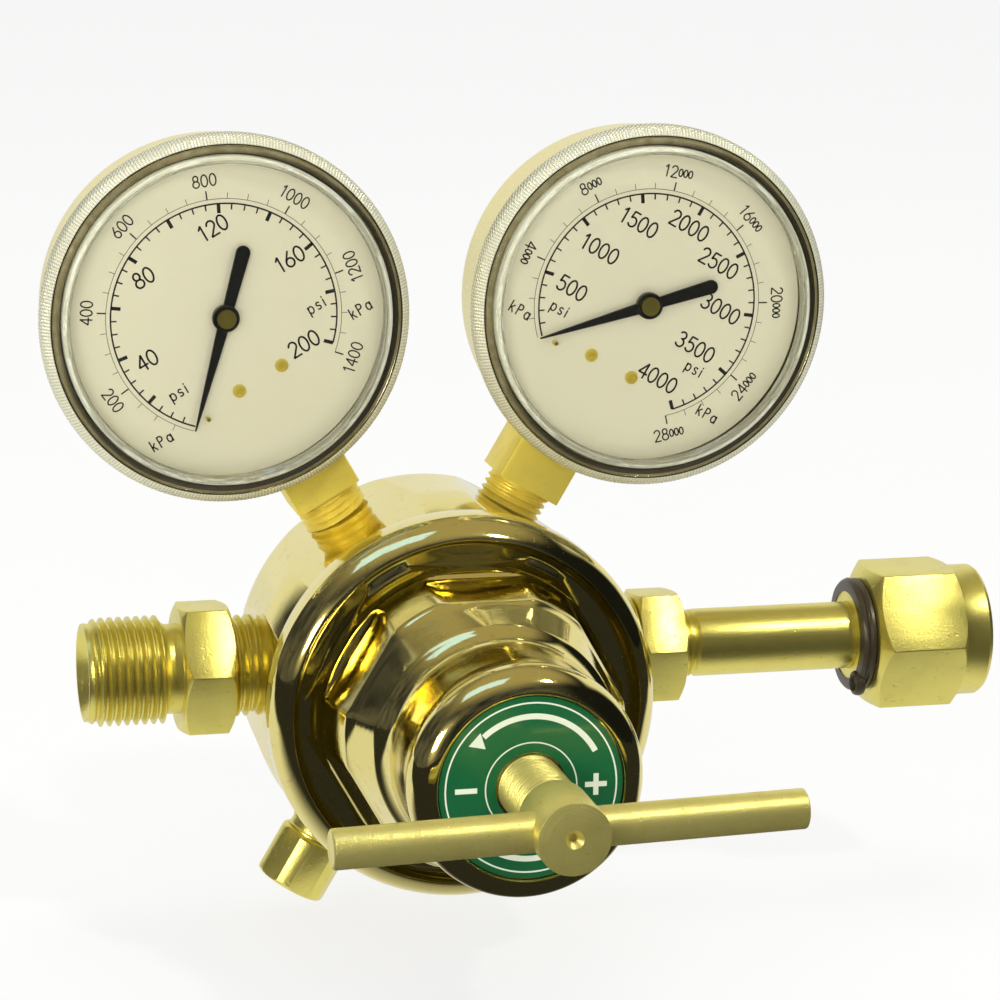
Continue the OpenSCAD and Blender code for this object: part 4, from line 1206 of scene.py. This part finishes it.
for node_name, solid in frame["nodes"].items():
    if solid.hide_render:
        continue
    finish = plain.get(slot_of[node_name])
    if finish is None:
        print("no plain finish for", node_name, slot_of[node_name])
        continue
    solid.data.materials.clear()
    solid.data.materials.append(finish)
    kept += 1
print("plain solids:", kept)

# %% [markdown]
# ## Camera, floor and light
# The camera stands a little to the left and above, as the photograph's did. The floor and
# the surroundings are plain and pale. Polished metal looks flat when everything round it
# is white, so its reflections see something else: a dim room with a paler ceiling, a dark
# right side, the warm glow of the left flash, one blue window high up, the pale backdrop,
# and a sheet of paper that starts under the regulator and widens towards the back. Every
# other ray sees plain pale light.

# %% Camera
EYE = Vector((-177.85 - REACH, -779.50, 220.02)) * MM
AHEAD = Vector((0.23557, 0.94491, -0.22727))
RIGHT = Vector((0.97103, -0.23851, 0.01485))
UP = Vector((0.04018, 0.22418, 0.97372))
camera_data = bpy.data.cameras.new("camera")
camera = bpy.data.objects.new("camera", camera_data)
bpy.context.scene.collection.objects.link(camera)
camera.matrix_world = Matrix((RIGHT, UP, -AHEAD)).transposed().to_4x4()
camera.location = EYE
camera_data.sensor_width = 36.0
camera_data.lens = 143.9
bpy.context.scene.camera = camera

# %% Floor
FLOOR_Z = -54.0 * MM
PAPER_EDGE, PAPER_FADE, PAPER_HALF = -0.04, 0.03, 0.23
floor_bm = bmesh.new()
bmesh.ops.create_grid(floor_bm, x_segments=2, y_segments=2, size=6.0,
                      matrix=moved(-0.1, 0.0, FLOOR_Z))
floor_mesh = bpy.data.meshes.new("floor")
floor_bm.to_mesh(floor_mesh)
floor_bm.free()
floor = bpy.data.objects.new("floor", floor_mesh)
bpy.context.scene.collection.objects.link(floor)
floor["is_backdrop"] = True
paper = Finish("floor_paper")
spot_on_floor = paper.node("ShaderNodeTexCoord", output=3)
weave = paper.noise(spot_on_floor, 40.0, 3.0, 0.6)
matt = paper.node("ShaderNodeBsdfDiffuse", {}, {"Color": rgb(0.9, 0.9, 0.9)})
glow = paper.node("ShaderNodeEmission", {}, {
    "Color": paper.mix(weave, rgb(0.95, 0.95, 0.95), rgb(0.96, 0.96, 0.96)),
    "Strength": 1.0})
floor_x, floor_y, _ = paper.split(spot_on_floor)
sideways = (floor_x + REACH * MM).apply("ABSOLUTE")
spread = floor_y * 1.2 + PAPER_HALF
on_paper = floor_y.above(PAPER_EDGE, PAPER_FADE) * (spread - sideways).above(0, PAPER_FADE)
mirror_view = paper.node("ShaderNodeEmission", {}, {
    "Color": paper.mix(on_paper, rgb(0.026, 0.026, 0.026), rgb(0.82, 0.82, 0.78)), "Strength": 1.0})
seen = paper.node("ShaderNodeLightPath", output=0)
mirrored = paper.node("ShaderNodeLightPath", output=3)
through = paper.node("ShaderNodeLightPath", output=6)
plain_share = seen.math("MAXIMUM", seen * 0.8, through * 0.9)
sheet = paper.node("ShaderNodeMixShader", {}, {0: plain_share, 1: matt, 2: glow})
floor_mesh.materials.append(paper.out(
    paper.node("ShaderNodeMixShader", {}, {0: mirrored, 1: sheet, 2: mirror_view})))

# %% World
world = bpy.data.worlds.new("studio")
bpy.context.scene.world = world
world.use_nodes = True


class Sky(Finish):
    def __init__(self, tree):
        self.tree = tree
        self.tree.nodes.clear()

    def patch(self, look, centre, across, half_width, half_height, soft):
        """A rectangle on the sky, 1 inside with a soft rim, and the height across it."""
        centre = Vector(centre).normalized()
        across = (Vector(across) - centre * centre.dot(Vector(across))).normalized()

        def along(axis):
            return self.node("ShaderNodeVectorMath", {"operation": "DOT_PRODUCT"},
                             {0: look, 1: axis}, output=1)

        u, v = along(across), along(centre.cross(across))
        inside = (half_width - u.apply("ABSOLUTE")).above(0, soft)
        inside = inside * (half_height - v.apply("ABSOLUTE")).above(0, soft)
        return inside * along(centre).above(0.2, 0.1), v


sky = Sky(world.node_tree)
look = sky.node("ShaderNodeTexCoord", output=0)
sx, _, sz = sky.split(look)
dim = sky.mix(sky.noise(look, 2.2, 3.0, 0.6).above(0.50, 0.2),
              rgb(0.011, 0.013, 0.024), rgb(0.13, 0.125, 0.12))
room = sky.mix(sz.above(0.74, 0.20), dim, rgb(0.40, 0.35, 0.22))
room = sky.mix(sx.above(0.45, 0.2) * (1 - sz.above(0.75, 0.1)), room, rgb(0.008, 0.009, 0.012))
flash_glow, _ = sky.patch(look, (-0.76, -0.60, 0.25), (0.62, -0.78, 0), 0.15, 0.17, 0.15)
room = sky.mix(flash_glow, room, rgb(0.95, 0.88, 0.60))
window, window_v = sky.patch(look, (-0.33, -0.15, 0.93), (0.9, -0.3, 0.1), 0.29, 0.15, 0.012)
bars = (window_v * 26).apply("FRACT").above(0.80, 0.06)
room = sky.mix(window * (1 - bars * 0.6), room, rgb(0.80, 1.20, 2.2))
backdrop, _ = sky.patch(look, (0.20, 0.97, 0.10), (1, 0, 0), 0.72, 0.60, 0.07)
room = sky.mix(backdrop, room, rgb(0.86, 0.86, 0.80))
plain_light = rgb(0.80, 0.80, 0.78)
camera_ray = sky.node("ShaderNodeLightPath", output=0)
glossy_ray = sky.node("ShaderNodeLightPath", output=3)
colour = sky.mix(glossy_ray, plain_light, room)
colour = sky.mix(camera_ray, colour, rgb(0.93, 0.93, 0.93))
back = sky.node("ShaderNodeBackground", {}, {"Color": colour, "Strength": 1.0})
sky.node("ShaderNodeOutputWorld", {}, {"Surface": back})


# %% Lamps
LIT = Vector((-0.11, -0.02, 0.02))


def softbox(name, away, distance, size, power, tint=(1, 1, 1), mirrored=True):
    """A lamp that looks at the regulator's middle. Mirrored ones show in the metal."""
    lamp = bpy.data.lights.new(name, "AREA")
    lamp.shape = "RECTANGLE"
    lamp.size, lamp.size_y = size
    lamp.energy = power
    lamp.color = tint
    holder = bpy.data.objects.new(name, lamp)
    bpy.context.scene.collection.objects.link(holder)
    direction = Vector(away).normalized()
    holder.location = LIT + direction * distance
    holder.rotation_mode = "QUATERNION"
    holder.rotation_quaternion = direction.to_track_quat("Z", "Y")
    holder.visible_glossy = mirrored


softbox("left_flash", (-0.76, -0.60, 0.25), 1.3, (0.27, 0.27), 5.0, (1.0, 0.98, 0.86))
softbox("overhead", (0.38, -0.49, 0.79), 1.3, (0.10, 0.10), 5.0, (1.0, 0.99, 0.86))
softbox("dial_fill", (-0.35, -0.90, 0.25), 1.4, (0.5, 0.5), 4.6, mirrored=False)
softbox("top", (0.05, 0.15, 1.0), 1.4, (0.8, 0.8), 5.0, mirrored=False)
bpy.context.scene.view_settings.view_transform = "Standard"
print("triangles in the dressed pieces:", triangles)

# %% Sizes and finish
dressed_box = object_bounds()
for low_or_high, cad, dressed in zip(("low", "high"), solid_box, dressed_box):
    print(low_or_high, [round(v * 1000, 2) for v in cad], [round(v * 1000, 2) for v in dressed])
